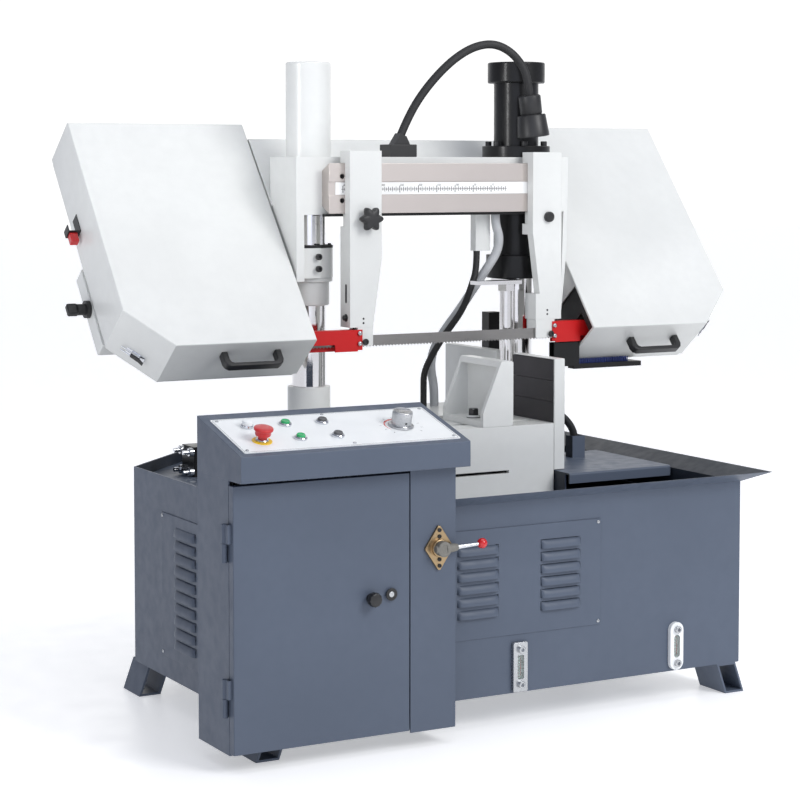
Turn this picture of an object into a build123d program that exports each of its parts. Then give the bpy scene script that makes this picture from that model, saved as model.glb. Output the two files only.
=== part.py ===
from build123d import *
import math
import os

# Double-column horizontal band saw, in millimetres.
# +X runs along the cutting run of the blade, -Y is the operator's side, +Z is up.
# The origin is on the floor, at the centre of the four anchor holes.

# Driving dimensions: base
TANK_HALF_X = 601.0
TANK_FRONT_Y = -358.0
TANK_BACK_Y = 522.0
TANK_CORNER = 200.0
TANK_BOTTOM_Z = 70.0
TRAY_FLOOR_Z = 430.0
DECK_Z = 491.0
FOLD_Z = 485.0
RIM_Z = 508.0
RIM_OUT_FRONT = 44.0
RIM_OUT_SIDE = 58.0
END_WALL_Z = 517.0
SHEET = 4.0

# Driving dimensions: feet
FOOT_X = 590.0
FOOT_Y = 310.0
FOOT_LENGTH = 96.0
FOOT_WIDTH = 52.0
FOOT_SLANT = 25.0
ANCHOR_R = 6.5

# Driving dimensions: control cabinet and console
CABINET_X0 = -693.0
CABINET_X1 = -188.0
CABINET_FRONT_Y = -422.0
CABINET_BACK_Y = -249.0
CABINET_BOTTOM_Z = 35.0
CABINET_TOP_Z = 584.0
DOOR_X1 = -297.0
DOOR_DEPTH = 20.0
CONSOLE_X1 = -175.0
CONSOLE_FRONT_Y = -460.0
CONSOLE_LIP_Z = 637.0
CONSOLE_TOP_Z = 697.0
PANEL_SHEET = 3.0
DOOR_HINGE_X = -700.0
DOOR_HINGE_Y = -395.0

# Driving dimensions: vise and bed
BED_X0 = -240.0
BED_X1 = 299.0
BED_FRONT_Y = -48.0
BED_BACK_Y = 462.0
BED_TOP_Z = 603.0
SLOT_Y0 = 140.0
SLOT_Y1 = 204.0
SLOT_FLOOR_Z = 572.0
JAW_TOP_Z = 753.0
JAW_BACK_Y = 135.0
JAW_THICKNESS = 28.0
JAW_FACE_X = 186.0

# Driving dimensions: columns
COLUMN_X0 = -169.0
COLUMN_X1 = 405.0
COLUMN_Y = 293.0
COLUMN_R = 40.0
ROD_BASE_X1 = 498.0
RUNNING_FIT = 0.06

# Driving dimensions: saw bow
BEAM_X0 = -242.0
BEAM_X1 = 502.0
BEAM_Y0 = 209.0
BEAM_Y1 = 350.0
BEAM_Z0 = 1088.0
BEAM_Z1 = 1222.0
REAR_BOX_Z0 = 1080.0
RAIL_FRONT_Y = 173.0
ARM_FRONT_Y = 148.0
ARM_TOP_Z = 1236.0
ARM_BACK_Y = 196.0
BLADE_Y = 155.0
BLADE_Z = 795.5
BLADE_WIDTH = 27.0
BLADE_THICKNESS = 0.9

# Driving dimensions: tilted blade housings
TILT_DEG = 51.0
HOOD_FRONT_Y = 90.0
HOOD_FRONT_Z = 810.0
HOOD_OUTER_X = -692.0
HOOD_INNER_X = -249.0
RIGHT_HOOD_INNER_X = 503.0
HOOD_LENGTH = 632.0
HOOD_DEPTH = 137.0
HOOD_CORNER = 99.0
HOOD_SHEET = 3.0
BOW_MIDDLE_X = 125.5
WHEEL_R = 190.0
WHEEL_X = -452.5
WHEEL_GAP = 0.3
PLATE_N0 = -149.5
PLATE_N1 = -137.5

# Driving dimensions: handles, knobs and buttons
DOOR_KNOB_X = -387.0
DOOR_KNOB_Z = 324.0
LEVER_X = -230.0
LEVER_Z = 415.0
LEVER_REACH = 93.0
BUTTON_ROW_NEAR = 66.0
BUTTON_ROW_FAR = 140.0
BUTTON_BORE_R = 9.5
PILOT_X = -618.0
STOP_X = -618.0
SPEED_X = -288.0
SPEED_T = 96.0
GREEN_X = -533.0
GREY_X = -449.0
STAR_X = -89.0
STAR_Z = 1079.0
KNOB_N = -166.0

# Driving dimensions: guides, hinges and fittings
KEY_Y0 = 20.0
KEY_Y1 = 50.0
GUIDE_X = 310.0
GUIDE_Y = 185.0
GUIDE_R = 14.0
HINGE_S = 638.0
HINGE_N = -143.0
MOTOR_N = -224.0
CONNECTOR_X = 382.0
CONNECTOR_Y = 196.0
CONNECTOR_TOP_Z = 1372.0
CONNECTOR_LEAN_DEG = 7.0

# Button places on the sloping panel: x, distance up the slope, body radius
BUTTON_PLACES = [
    (STOP_X, BUTTON_ROW_NEAR, 11.0),
    (GREEN_X, BUTTON_ROW_FAR, 11.0),
    (GREEN_X, BUTTON_ROW_NEAR, 11.0),
    (GREY_X, BUTTON_ROW_FAR, 11.0),
    (GREY_X, BUTTON_ROW_NEAR, 11.0),
]
KNOB_PLACES = [(SPEED_X, SPEED_T, 6.0)]

TILT = math.radians(TILT_DEG)
HOUSING = Plane(
    origin=(0, HOOD_FRONT_Y, HOOD_FRONT_Z),
    x_dir=(1, 0, 0),
    z_dir=(0, -math.sin(TILT), math.cos(TILT)),
)
BLADE_S = (BLADE_Y - HOOD_FRONT_Y) * math.cos(TILT) + (BLADE_Z - HOOD_FRONT_Z) * math.sin(TILT)
BLADE_N = -(BLADE_Y - HOOD_FRONT_Y) * math.sin(TILT) + (BLADE_Z - HOOD_FRONT_Z) * math.cos(TILT)
WHEEL_S = BLADE_S + WHEEL_R + WHEEL_GAP + BLADE_THICKNESS / 2
BLADE_TOP_S = 2 * WHEEL_S - BLADE_S

CONSOLE_SLOPE = math.atan2(CONSOLE_TOP_Z - CONSOLE_LIP_Z, CABINET_BACK_Y - CONSOLE_FRONT_Y)
CONSOLE_TOP = Plane(
    origin=(0, CONSOLE_FRONT_Y, CONSOLE_LIP_Z),
    x_dir=(1, 0, 0),
    z_dir=(0, -math.sin(CONSOLE_SLOPE), math.cos(CONSOLE_SLOPE)),
)


# Basic shapes

def block(x0, x1, y0, y1, z0, z1):
    """A box between two opposite corners."""
    middle = Pos((x0 + x1) / 2, (y0 + y1) / 2, (z0 + z1) / 2)
    return middle * Box(x1 - x0, y1 - y0, z1 - z0)


def soft_block(x0, x1, y0, y1, z0, z1, radius):
    """A box with every edge rounded."""
    box = block(x0, x1, y0, y1, z0, z1)
    return fillet(box.edges(), radius)


def rod(start, end, radius):
    """A round bar from one point to another."""
    axis = Vector(*end) - Vector(*start)
    plane = Plane(origin=start, z_dir=axis)
    bar = Cylinder(radius, axis.length, align=(Align.CENTER, Align.CENTER, Align.MIN))
    return plane.location * bar


def pipe(start, end, radius, bore):
    """A round tube from one point to another."""
    axis = (Vector(*end) - Vector(*start)).normalized()
    inner_start = tuple(Vector(*start) - axis)
    inner_end = tuple(Vector(*end) + axis)
    return rod(start, end, radius) - rod(inner_start, inner_end, bore)


def prism(points, direction):
    """A flat polygon pushed along a direction."""
    face = make_face(Polyline(*points, close=True))
    vector = Vector(*direction)
    return extrude(face, amount=vector.length, dir=vector.normalized())


def prism_x(outline, x0, x1):
    """A (y, z) outline pushed from x0 to x1."""
    return prism([(x0, y, z) for y, z in outline], (x1 - x0, 0, 0))


def prism_y(outline, y0, y1):
    """An (x, z) outline pushed from y0 to y1."""
    return prism([(x, y0, z) for x, z in outline], (0, y1 - y0, 0))


def prism_z(outline, z0, z1):
    """An (x, y) outline pushed from z0 to z1."""
    return prism([(x, y, z0) for x, y in outline], (0, 0, z1 - z0))


def mirrored(x):
    """The x that matches x on the other side of the bow's middle."""
    return 2 * BOW_MIDDLE_X - x


def in_housing(shape):
    """Places a shape drawn in the tilted housing's own (x, up-slope, outward) frame."""
    return HOUSING.location * shape


def on_console(shape):
    """Places a shape drawn in the sloping console top's own frame."""
    return CONSOLE_TOP.location * shape


# Base

def tank_outline(inset, front_out=0.0, side_out=0.0):
    """The tank's plan: a box with the cabinet's notch and one cut corner."""
    half = TANK_HALF_X - inset
    front = TANK_FRONT_Y + inset
    back = TANK_BACK_Y - inset
    diagonal = TANK_BACK_Y + TANK_HALF_X - TANK_CORNER - inset * math.sqrt(2)
    notch_x = CABINET_X1 + 2 + inset
    notch_y = CABINET_BACK_Y + 2 + inset
    return [
        (notch_x, front - front_out),
        (half + side_out, front - front_out),
        (half + side_out, back),
        (back - diagonal, back),
        (-half, diagonal - half),
        (-half, notch_y),
        (notch_x, notch_y),
    ]


def flared_ring(inset):
    """The solid between the fold line and the flared rim, inset by a wall."""
    lower = [(x, y, FOLD_Z) for x, y in tank_outline(inset)]
    upper = [(x, y, RIM_Z) for x, y in tank_outline(inset, RIM_OUT_FRONT, RIM_OUT_SIDE)]
    faces = [make_face(Polyline(*points, close=True)) for points in (lower, upper)]
    return loft(faces, ruled=True)


def base_tank():
    walls = prism_z(tank_outline(0), TANK_BOTTOM_Z, FOLD_Z)
    walls -= prism_z(tank_outline(SHEET), TANK_BOTTOM_Z + SHEET, FOLD_Z + 1)
    rim = flared_ring(0) - flared_ring(SHEET)
    end_wall = prism_z(tank_outline(0), RIM_Z, END_WALL_Z)
    end_wall -= prism_z(tank_outline(SHEET), RIM_Z - 1, END_WALL_Z + 1)
    end_wall &= block(-TANK_HALF_X, -380, CABINET_BACK_Y, TANK_BACK_Y, RIM_Z, END_WALL_Z)
    floor = prism_z(tank_outline(SHEET / 2), TRAY_FLOOR_Z - SHEET, TRAY_FLOOR_Z)
    tank = walls + rim + end_wall + floor
    tank -= block(-150, 190, TANK_FRONT_Y - 5, TANK_FRONT_Y + 10, 215, 413)
    tank -= block(-TANK_HALF_X - 5, -TANK_HALF_X + 10, -45, 90, 125, 424)
    tank -= rod((GUIDE_X, GUIDE_Y, TRAY_FLOOR_Z - 10), (GUIDE_X, GUIDE_Y, TRAY_FLOOR_Z + 5), 22)
    return tank


def anchor_foot(side, y):
    """One slanting hollow foot with its anchor hole."""
    half = FOOT_WIDTH / 2
    wall = 5.0
    bottom = side * FOOT_X
    top = side * (FOOT_X - FOOT_SLANT)
    outer = [(bottom - half, 0), (bottom + half, 0)]
    outer += [(top + half, TANK_BOTTOM_Z), (top - half, TANK_BOTTOM_Z)]
    lean = -side * FOOT_SLANT * wall / TANK_BOTTOM_Z
    inner = [
        (bottom + lean - half + wall, wall),
        (bottom + lean + half - wall, wall),
        (top - lean + half - wall, TANK_BOTTOM_Z - wall),
        (top - lean - half + wall, TANK_BOTTOM_Z - wall),
    ]
    y0 = y - FOOT_LENGTH / 2
    y1 = y + FOOT_LENGTH / 2
    foot = prism_y(outer, y0, y1) - prism_y(inner, y0 - 1, y1 + 1)
    return foot - rod((bottom, y, -1), (bottom, y, wall + 3), ANCHOR_R)


def anchor_feet():
    return Compound([anchor_foot(side, y) for side in (-1, 1) for y in (-FOOT_Y, FOOT_Y)])


def right_deck():
    """The raised plate right of the bed, its folded lips and the return socket."""
    x0, x1, y0, y1 = BED_X1 + 2, 594.0, -110.0, 206.0
    lip = 24.0
    top = DECK_Z + 1
    plate = block(x0, x1, y0, y1, top - lip, top)
    plate = fillet(plate.edges().filter_by(Axis.Z).group_by(Axis.X)[-1].sort_by(Axis.Y)[0], 14)
    plate = fillet(plate.edges().filter_by(Axis.X).group_by(Axis.Z)[-1].sort_by(Axis.Y)[0], 5)
    plate -= block(x0 - 1, x1 - SHEET, y0 + SHEET, y1 - SHEET, top - lip - 1, top - SHEET)
    plate += block(x0, x0 + SHEET, y0 + 20, y1, TRAY_FLOOR_Z, top - SHEET)
    plate += block(x0, x1 - SHEET, y1 - SHEET, y1, TRAY_FLOOR_Z, top - SHEET)
    socket = block(455, 491, 110, 140, top, top + 53) - block(457, 489, 112, 138, top - 9, top + 54)
    plate -= rod((GUIDE_X, GUIDE_Y, TRAY_FLOOR_Z - 5), (GUIDE_X, GUIDE_Y, top + 5), GUIDE_R + 2.5)
    return plate - block(457, 489, 112, 138, top - 9, top + 1) + socket


def left_deck():
    """The plate that covers the tank left of the bed."""
    inner = tank_outline(SHEET + 0.5)
    plate = prism_z(inner, DECK_Z - SHEET, DECK_Z)
    plate &= block(-TANK_HALF_X, BED_X0 - 2, CABINET_BACK_Y, TANK_BACK_Y, 0, DECK_Z + 10)
    return plate + block(BED_X0 - 2 - SHEET, BED_X0 - 2, -240, TANK_BACK_Y - 8, TRAY_FLOOR_Z, DECK_Z)


def tray_decks():
    return Compound([right_deck(), left_deck()])


def louvre(width, height, depth):
    """One pressed louvre: a hood that stands out of the plate, open along its lower edge."""
    side = [(0, 0), (-depth, -height * 0.55), (-depth, -height * 0.8), (0, -height * 0.8)]
    hood = prism_x(side, -width / 2, width / 2)
    ends = hood.edges().filter_by(Axis.X).sort_by(Axis.Y)[0]
    return fillet(ends, depth * 0.4)


def front_louvre_panel():
    panel = block(-180, 218, TANK_FRONT_Y - 2, TANK_FRONT_Y, 197, 431)
    for column_x in (-96.5, 113):
        for row in range(6):
            top = 397 - 27 * row
            panel += Pos(column_x, TANK_FRONT_Y - 2, top) * louvre(103, 24, 8)
    return panel


def left_louvre_panel():
    panel = block(-TANK_HALF_X - 2, -TANK_HALF_X, -110, 158, 118, 437)
    for row in range(10):
        top = 414 - 27.5 * row
        hood = Rot(0, 0, -90) * louvre(113, 25, 8)
        panel += Pos(-TANK_HALF_X - 2, 23.5, top) * hood
    return panel


def louvre_panels():
    return Compound([front_louvre_panel(), left_louvre_panel()])


def level_gauge(x, z0, z1, corner):
    """A sight gauge on the front wall, held by a bolt at each end."""
    front = TANK_FRONT_Y
    body = block(x - 18, x + 18, front - 10, front, z0, z1)
    body = fillet(body.edges().filter_by(Axis.Y), corner)
    body -= block(x - 8, x + 8, front - 11, front - 6, z0 + 27, z1 - 27)
    for z in ((z0 + z1) / 2 - 38, (z0 + z1) / 2 + 38):
        body += rod((x, front - 18, z), (x, front - 9, z), 8)
    return body


def level_gauges():
    return Compound([level_gauge(7, 73, 181, 3), level_gauge(420, 74, 180, 16)])


# Cabinet and console

def cabinet_shell():
    sheet = PANEL_SHEET
    door_y = CABINET_FRONT_Y + DOOR_DEPTH + 2
    x0, x1 = CABINET_X0, CABINET_X1
    shell = block(x0, x1, door_y, CABINET_BACK_Y, CABINET_BOTTOM_Z, CABINET_TOP_Z)
    shell += block(DOOR_X1 + 2, x1, CABINET_FRONT_Y, door_y, CABINET_BOTTOM_Z, CABINET_TOP_Z)
    back_y, low_z, high_z = CABINET_BACK_Y - sheet, TANK_BOTTOM_Z + sheet, CABINET_TOP_Z - sheet
    shell -= block(x0 + sheet, DOOR_X1 + 2, door_y - 1, back_y, low_z, high_z)
    shell -= block(DOOR_X1, x1 - sheet, CABINET_FRONT_Y + sheet, back_y, low_z, high_z)
    under = CABINET_BOTTOM_Z - 1
    shell -= block(x0 + sheet, x1 - sheet, CABINET_FRONT_Y - 1, CABINET_BACK_Y + 1, under, TANK_BOTTOM_Z)
    shell += block(DOOR_X1 + 2, x1, CABINET_FRONT_Y, CABINET_FRONT_Y + sheet, CABINET_BOTTOM_Z, TANK_BOTTOM_Z)
    shell += block(x0, x1, door_y, door_y + sheet, CABINET_BOTTOM_Z, TANK_BOTTOM_Z)
    spindle_y0, spindle_y1 = CABINET_FRONT_Y - 5, CABINET_FRONT_Y + 5
    shell -= rod((LEVER_X, spindle_y0, LEVER_Z), (LEVER_X, spindle_y1, LEVER_Z), 7 + RUNNING_FIT)
    for z in (112, 421):
        shell += hinge_pin(z)
    return shell


def hinge_pin(z):
    """The cabinet's half of a lift-off hinge: a leaf, a barrel and the upright pin."""
    x, y = DOOR_HINGE_X, DOOR_HINGE_Y
    leaf = block(x, CABINET_X0 + 1, y + 3, y + 6, z, z + 38)
    barrel = rod((x, y, z), (x, y, z + 38), 6)
    pin = rod((x, y, z + 38), (x, y, z + 74), 3)
    return leaf + barrel + pin


def cabinet_door():
    sheet = 2.5
    z0, z1 = 40.0, 574.0
    y0 = CABINET_FRONT_Y
    y1 = CABINET_FRONT_Y + DOOR_DEPTH
    door = block(CABINET_X0, DOOR_X1, y0, y1, z0, z1)
    door = fillet(door.edges().filter_by(Axis.Z).group_by(Axis.Y)[0], 2)
    door -= block(CABINET_X0 + sheet, DOOR_X1 - sheet, y0 + sheet, y1 + 1, z0 + sheet, z1 - sheet)
    knob_hole = rod((DOOR_KNOB_X, y0 - 5, DOOR_KNOB_Z), (DOOR_KNOB_X, y0 + 10, DOOR_KNOB_Z), 5.06)
    lock = rod((DOOR_KNOB_X + 45, y0 - 5, DOOR_KNOB_Z + 5), (DOOR_KNOB_X + 45, y0 + 15, DOOR_KNOB_Z + 5), 12)
    lock -= block(DOOR_KNOB_X + 44, DOOR_KNOB_X + 46, y0 - 6, y0 - 3, DOOR_KNOB_Z - 1, DOOR_KNOB_Z + 11)
    door = door - knob_hole + lock
    x, y = DOOR_HINGE_X, DOOR_HINGE_Y
    for z in (112, 421):
        barrel = pipe((x, y, z + 39), (x, y, z + 77), 6, 3 + RUNNING_FIT)
        leaf = block(x - 1.5, x + 1.5, y1 - 12, y - 4, z + 39, z + 77)
        flap = block(x - 1.5, CABINET_X0 + 1, y1 - 12, y1 - 9, z + 39, z + 77)
        door += barrel + (leaf - rod((x, y, z), (x, y, z + 90), 5)) + flap
    return door


def door_knob():
    """The round knob that turns the door's latch tongue."""
    x, z, y0 = DOOR_KNOB_X, DOOR_KNOB_Z, CABINET_FRONT_Y
    grip = rod((x, y0 - 24, z), (x, y0 - 8, z), 15)
    grip = fillet(grip.edges(), 3)
    collar = rod((x, y0 - 9, z), (x, y0 - 0.3, z), 11)
    stem = rod((x, y0 - 2, z), (x, y0 + 16, z), 5)
    tongue = block(x - 5, x + 30, y0 + 12, y0 + 15, z - 6, z + 6)
    return grip + collar + stem + tongue


def console_housing():
    profile = [
        (CONSOLE_FRONT_Y, CABINET_TOP_Z),
        (CONSOLE_FRONT_Y, CONSOLE_LIP_Z),
        (CABINET_BACK_Y, CONSOLE_TOP_Z),
        (CABINET_BACK_Y, CABINET_TOP_Z),
    ]
    sheet = PANEL_SHEET
    inner = [
        (CONSOLE_FRONT_Y + sheet, CABINET_TOP_Z + sheet),
        (CONSOLE_FRONT_Y + sheet, CONSOLE_LIP_Z - sheet),
        (CABINET_BACK_Y - sheet, CONSOLE_TOP_Z - sheet),
        (CABINET_BACK_Y - sheet, CABINET_TOP_Z + sheet),
    ]
    shell = prism_x(profile, CABINET_X0, CONSOLE_X1)
    shell = fillet(shell.edges().filter_by(Axis.X).group_by(Axis.Y)[0], 2.5)
    shell -= prism_x(inner, CABINET_X0 + sheet, CONSOLE_X1 - sheet)
    for x, t, radius in BUTTON_PLACES + KNOB_PLACES:
        shell -= on_console(rod((x, t, -12), (x, t, 5), radius + 2))
    return shell


def control_panel():
    plate = block(-679, -190, 15, 187, 0, 2)
    plate = fillet(plate.edges().filter_by(Axis.Z), 3)
    for x, t, radius in BUTTON_PLACES + KNOB_PLACES:
        plate -= rod((x, t, -2), (x, t, 4), radius + 0.3)
    return on_console(plate)


def button_bezels():
    """The threaded bodies that hold the buttons, and the pilot lamp."""
    bezels = []
    for x, t, radius in BUTTON_PLACES:
        bezel = rod((x, t, -10), (x, t, 8), radius) - rod((x, t, -11), (x, t, 9), BUTTON_BORE_R)
        flange = pipe((x, t, 2), (x, t, 8), radius + 2.5, BUTTON_BORE_R)
        bezels.append(on_console(bezel + flange))
    x, t = PILOT_X, BUTTON_ROW_FAR
    lamp = rod((x, t, 2), (x, t, 18), 13)
    bezels.append(on_console(fillet(lamp.edges().group_by(Axis.Z)[-1], 3)))
    return Compound(bezels)


def push_button(x, t):
    """A plain push-button with its plunger."""
    cap = rod((x, t, 3), (x, t, 12), BUTTON_BORE_R - 0.3)
    cap = fillet(cap.edges().group_by(Axis.Z)[-1], 1)
    return on_console(cap + rod((x, t, -14), (x, t, 4), 4))


def stop_button():
    """The emergency stop's mushroom head and plunger."""
    x, t = STOP_X, BUTTON_ROW_NEAR
    neck = rod((x, t, 3), (x, t, 24), BUTTON_BORE_R - 0.3)
    head = fillet(rod((x, t, 20), (x, t, 32), 20).edges().group_by(Axis.Z)[-1], 4)
    return on_console(rod((x, t, -14), (x, t, 4), 4) + neck + head)


def speed_knob():
    """The round blade-speed knob with its wide skirt."""
    x, t = SPEED_X, SPEED_T
    skirt = rod((x, t, 2.3), (x, t, 6), 27)
    grip = rod((x, t, 5), (x, t, 36), 21)
    grip = fillet(grip.edges().group_by(Axis.Z)[-1], 2)
    stem = rod((x, t, -10), (x, t, 3), 5)
    return on_console(skirt + grip + stem)


def electric_panel():
    """The mounting plate inside the cabinet, with its rails and devices."""
    back = CABINET_BACK_Y - PANEL_SHEET
    plate = block(-675, -320, back - 5, back, 95, 560)
    for z, height in ((440, 70), (320, 80), (170, 90)):
        plate += block(-660, -335, back - 13, back - 5, z + height / 2 - 17, z + height / 2 + 17)
    for index in range(5):
        x = -650 + 62 * index
        plate += block(x, x + 45, back - 80, back - 12, 440, 510)
    for index in range(4):
        x = -645 + 76 * index
        plate += block(x, x + 54, back - 70, back - 12, 320, 395)
    plate += block(-650, -560, back - 100, back - 12, 150, 260)
    plate += block(-530, -350, back - 60, back - 12, 180, 240)
    return plate


def lever_plate():
    x, z, y = LEVER_X, LEVER_Z, CABINET_FRONT_Y
    diamond = prism_y([(x, z - 46), (x + 33, z), (x, z + 46), (x - 33, z)], y - 6, y)
    diamond = fillet(diamond.edges().filter_by(Axis.Y), 8)
    boss = rod((x, y - 14, z), (x, y, z), 19)
    return diamond + boss - rod((x, y - 15, z), (x, y + 1, z), 7 + RUNNING_FIT)


def feed_lever():
    """The hydraulic feed lever: a hub, a tapered arm and a ball."""
    x, z, y = LEVER_X, LEVER_Z, CABINET_FRONT_Y
    hub = rod((x, y - 30, z), (x, y - 14.3, z), 16)
    spindle = rod((x, y - 15, z), (x, y + 12, z), 7)
    reach = LEVER_REACH
    arm = rod((x, y - 22, z), (x + reach - 8, y - 22, z + 4), 4.5)
    boss = rod((x, y - 22, z), (x + 34, y - 22, z + 2), 8)
    ball = Pos(x + reach, y - 22, z + 4.5) * Sphere(11)
    return hub + spindle + arm + boss + ball


# Inside the base

def hydraulic_pack():
    """The oil reservoir with its pump motor, inside the tank's left end."""
    reservoir = soft_block(-560, -300, -120, 160, TANK_BOTTOM_Z + SHEET, 250, 6)
    lid = block(-566, -294, -126, 166, 250, 256)
    motor = rod((-430, 20, 256), (-430, 20, 410), 62)
    fan_cover = rod((-430, 20, 395), (-430, 20, 418), 66)
    terminal = block(-400, -350, -5, 45, 300, 360)
    return reservoir + lid + motor + fan_cover + terminal


def coolant_pump():
    """The pump that stands in the coolant, under the right deck."""
    body = rod((470, 60, TANK_BOTTOM_Z + SHEET), (470, 60, 190), 48)
    flange = rod((470, 60, 190), (470, 60, 198), 70)
    motor = rod((470, 60, 198), (470, 60, 350), 55)
    outlet = rod((470, 60, 150), (470, 150, 150), 14)
    return body + flange + motor + outlet


def hydraulic_valves():
    """The lift valve at the left rear and the flow valve behind the rod."""
    block_x0, block_y0 = -478.0, 262.0
    valve = block(block_x0, block_x0 + 45, block_y0, block_y0 + 68, DECK_Z, 560)
    for y in (block_y0 + 8, block_y0 + 60):
        for z in (503, 548):
            valve += rod((block_x0 - 10, y, z), (block_x0, y, z), 10)
            valve += rod((block_x0 - 24, y, z), (block_x0 - 9, y, z), 5)
    flow = block(393, 428, 400, 434, BED_TOP_Z + 100, 832)
    foot = block(400, 421, 406, 428, BED_TOP_Z, BED_TOP_Z + 100)
    return Compound([valve, flow + foot])


# Vise

def column_socket(x):
    return pipe((x, COLUMN_Y, BED_TOP_Z), (x, COLUMN_Y, 683), 50.5, COLUMN_R + RUNNING_FIT)


def bed_cavity(y0, y1, top):
    return block(BED_X0 + 12, BED_X1 - 12, y0, y1, TRAY_FLOOR_Z - 1, top)


def vise_bed():
    """The hollow bed, its blade slot, the left column's socket and the rod's base."""
    bed = block(BED_X0, BED_X1, BED_FRONT_Y, BED_BACK_Y, TRAY_FLOOR_Z, BED_TOP_Z)
    bed = fillet(bed.edges().filter_by(Axis.Z), 3)
    bed -= bed_cavity(BED_FRONT_Y + 12, SLOT_Y0 - 12, BED_TOP_Z - 14)
    bed -= bed_cavity(SLOT_Y1 + 12, BED_BACK_Y - 12, BED_TOP_Z - 14)
    bed -= bed_cavity(SLOT_Y0, SLOT_Y1, SLOT_FLOOR_Z - 14)
    bed -= block(BED_X0 - 1, BED_X1 + 1, SLOT_Y0, SLOT_Y1, SLOT_FLOOR_Z, BED_TOP_Z + 1)
    bed -= block(-220, BED_X1 - 10, KEY_Y0, KEY_Y1, BED_TOP_Z - 12, BED_TOP_Z + 1)
    bed -= block(-200, 175, BED_FRONT_Y - 1, BED_FRONT_Y + 13, 494, 501)
    bed += column_socket(COLUMN_X0)
    seat_z0, seat_z1 = BED_TOP_Z - 6, BED_TOP_Z + 1
    bed -= rod((COLUMN_X0, COLUMN_Y, seat_z0), (COLUMN_X0, COLUMN_Y, seat_z1), COLUMN_R + RUNNING_FIT)
    base = block(BED_X1 + JAW_THICKNESS, ROD_BASE_X1, 208, 392, 575, 718)
    base = fillet(base.edges().filter_by(Axis.Z), 8)
    legs = block(BED_X1 + JAW_THICKNESS, ROD_BASE_X1 - 20, 330, 390, TRAY_FLOOR_Z, 575)
    base = base + legs
    base -= rod((COLUMN_X1, COLUMN_Y, 590), (COLUMN_X1, COLUMN_Y, 720), COLUMN_R + RUNNING_FIT)
    bed -= rod((GUIDE_X, GUIDE_Y, TRAY_FLOOR_Z - 1), (GUIDE_X, GUIDE_Y, SLOT_FLOOR_Z - 14), GUIDE_R + 2)
    bore_z0, bore_z1 = SLOT_FLOOR_Z - 20, SLOT_FLOOR_Z + 1
    bed -= rod((GUIDE_X, GUIDE_Y, bore_z0), (GUIDE_X, GUIDE_Y, bore_z1), GUIDE_R + RUNNING_FIT)
    tie = block(BED_X1, BED_X1 + JAW_THICKNESS, 457, BED_BACK_Y, TRAY_FLOOR_Z, BED_TOP_Z)
    shelf = block(BED_X1, ROD_BASE_X1, 392, BED_BACK_Y, 560, BED_TOP_Z)
    tie += shelf - block(BED_X1 - 1, BED_X1 + JAW_THICKNESS, 390, 457, 400, 700)
    low, high = (GUIDE_X, GUIDE_Y, SLOT_FLOOR_Z - 14), (GUIDE_X, GUIDE_Y, SLOT_FLOOR_Z)
    guide_boss = pipe(low, high, 22, GUIDE_R + RUNNING_FIT)
    guide_arm = block(BED_X1 - 12, GUIDE_X + 20, SLOT_Y0 + 4, SLOT_Y1 - 4, SLOT_FLOOR_Z - 14, SLOT_FLOOR_Z)
    guide_arm -= rod((GUIDE_X, GUIDE_Y, 540), (GUIDE_X, GUIDE_Y, 590), GUIDE_R + RUNNING_FIT)
    return bed + base + tie + guide_boss + guide_arm


def fixed_jaws():
    """The front jaw with its plate pocket, and the rear jaw behind the blade slot."""
    x0, x1 = BED_X1, BED_X1 + JAW_THICKNESS
    front = block(x0, x1, BED_FRONT_Y, JAW_BACK_Y, DECK_Z + 3, JAW_TOP_Z)
    front = fillet(front.edges().filter_by(Axis.Y).group_by(Axis.Z)[-1], 3)
    front -= block(x0 - 1, x0 + 7, BED_FRONT_Y + 4, JAW_BACK_Y + 1, BED_TOP_Z, JAW_TOP_Z - 2)
    for z in (540, 580):
        front += rod((x1 - 1, 30, z), (x1 + 7, 30, z), 8)
    rear = block(x0, x1, 209, 456, DECK_Z + 3, JAW_TOP_Z)
    rear = fillet(rear.edges().filter_by(Axis.Y).group_by(Axis.Z)[-1], 3)
    return Compound([front, rear])


def jaw_plates():
    """Three hardened plates let into the front fixed jaw."""
    height = (JAW_TOP_Z - 3 - BED_TOP_Z) / 3
    plates = []
    for index in range(3):
        z0 = BED_TOP_Z + 0.5 + height * index
        plate = block(BED_X1 - 1, BED_X1 + 7, BED_FRONT_Y + 4, JAW_BACK_Y, z0, z0 + height - 0.8)
        plates.append(plate)
    return Compound(plates)


def moving_jaw():
    """The gusseted sliding jaw, its face plate, its guide key and its clamp bolt."""
    z0 = BED_TOP_Z + 0.3
    x1 = JAW_FACE_X - 4
    side = [(x1 - 77, z0), (x1, z0), (x1, JAW_TOP_Z), (x1 - 28, JAW_TOP_Z), (x1 - 77, z0 + 32)]
    jaw = prism_y(side, BED_FRONT_Y, JAW_BACK_Y)
    recess = [(x1 - 90, z0 + 14), (x1 - 16, z0 + 14), (x1 - 16, JAW_TOP_Z - 14), (x1 - 90, JAW_TOP_Z - 14)]
    jaw -= prism_y(recess, BED_FRONT_Y + 11, JAW_BACK_Y - 11)
    jaw += block(x1, JAW_FACE_X, BED_FRONT_Y, JAW_BACK_Y, z0 + 2, JAW_TOP_Z - 2)
    jaw += block(x1 - 70, x1 - 5, KEY_Y0 + 0.3, KEY_Y1 - 0.3, BED_TOP_Z - 11, z0 + 1)
    bolt = rod((x1 - 53, 35, z0 + 14), (x1 - 53, 35, z0 + 20), 15)
    head = extrude(Plane((x1 - 53, 35, z0 + 20)) * RegularPolygon(12, 6), 15)
    return jaw + bolt + head


# Columns and lift cylinder

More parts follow.
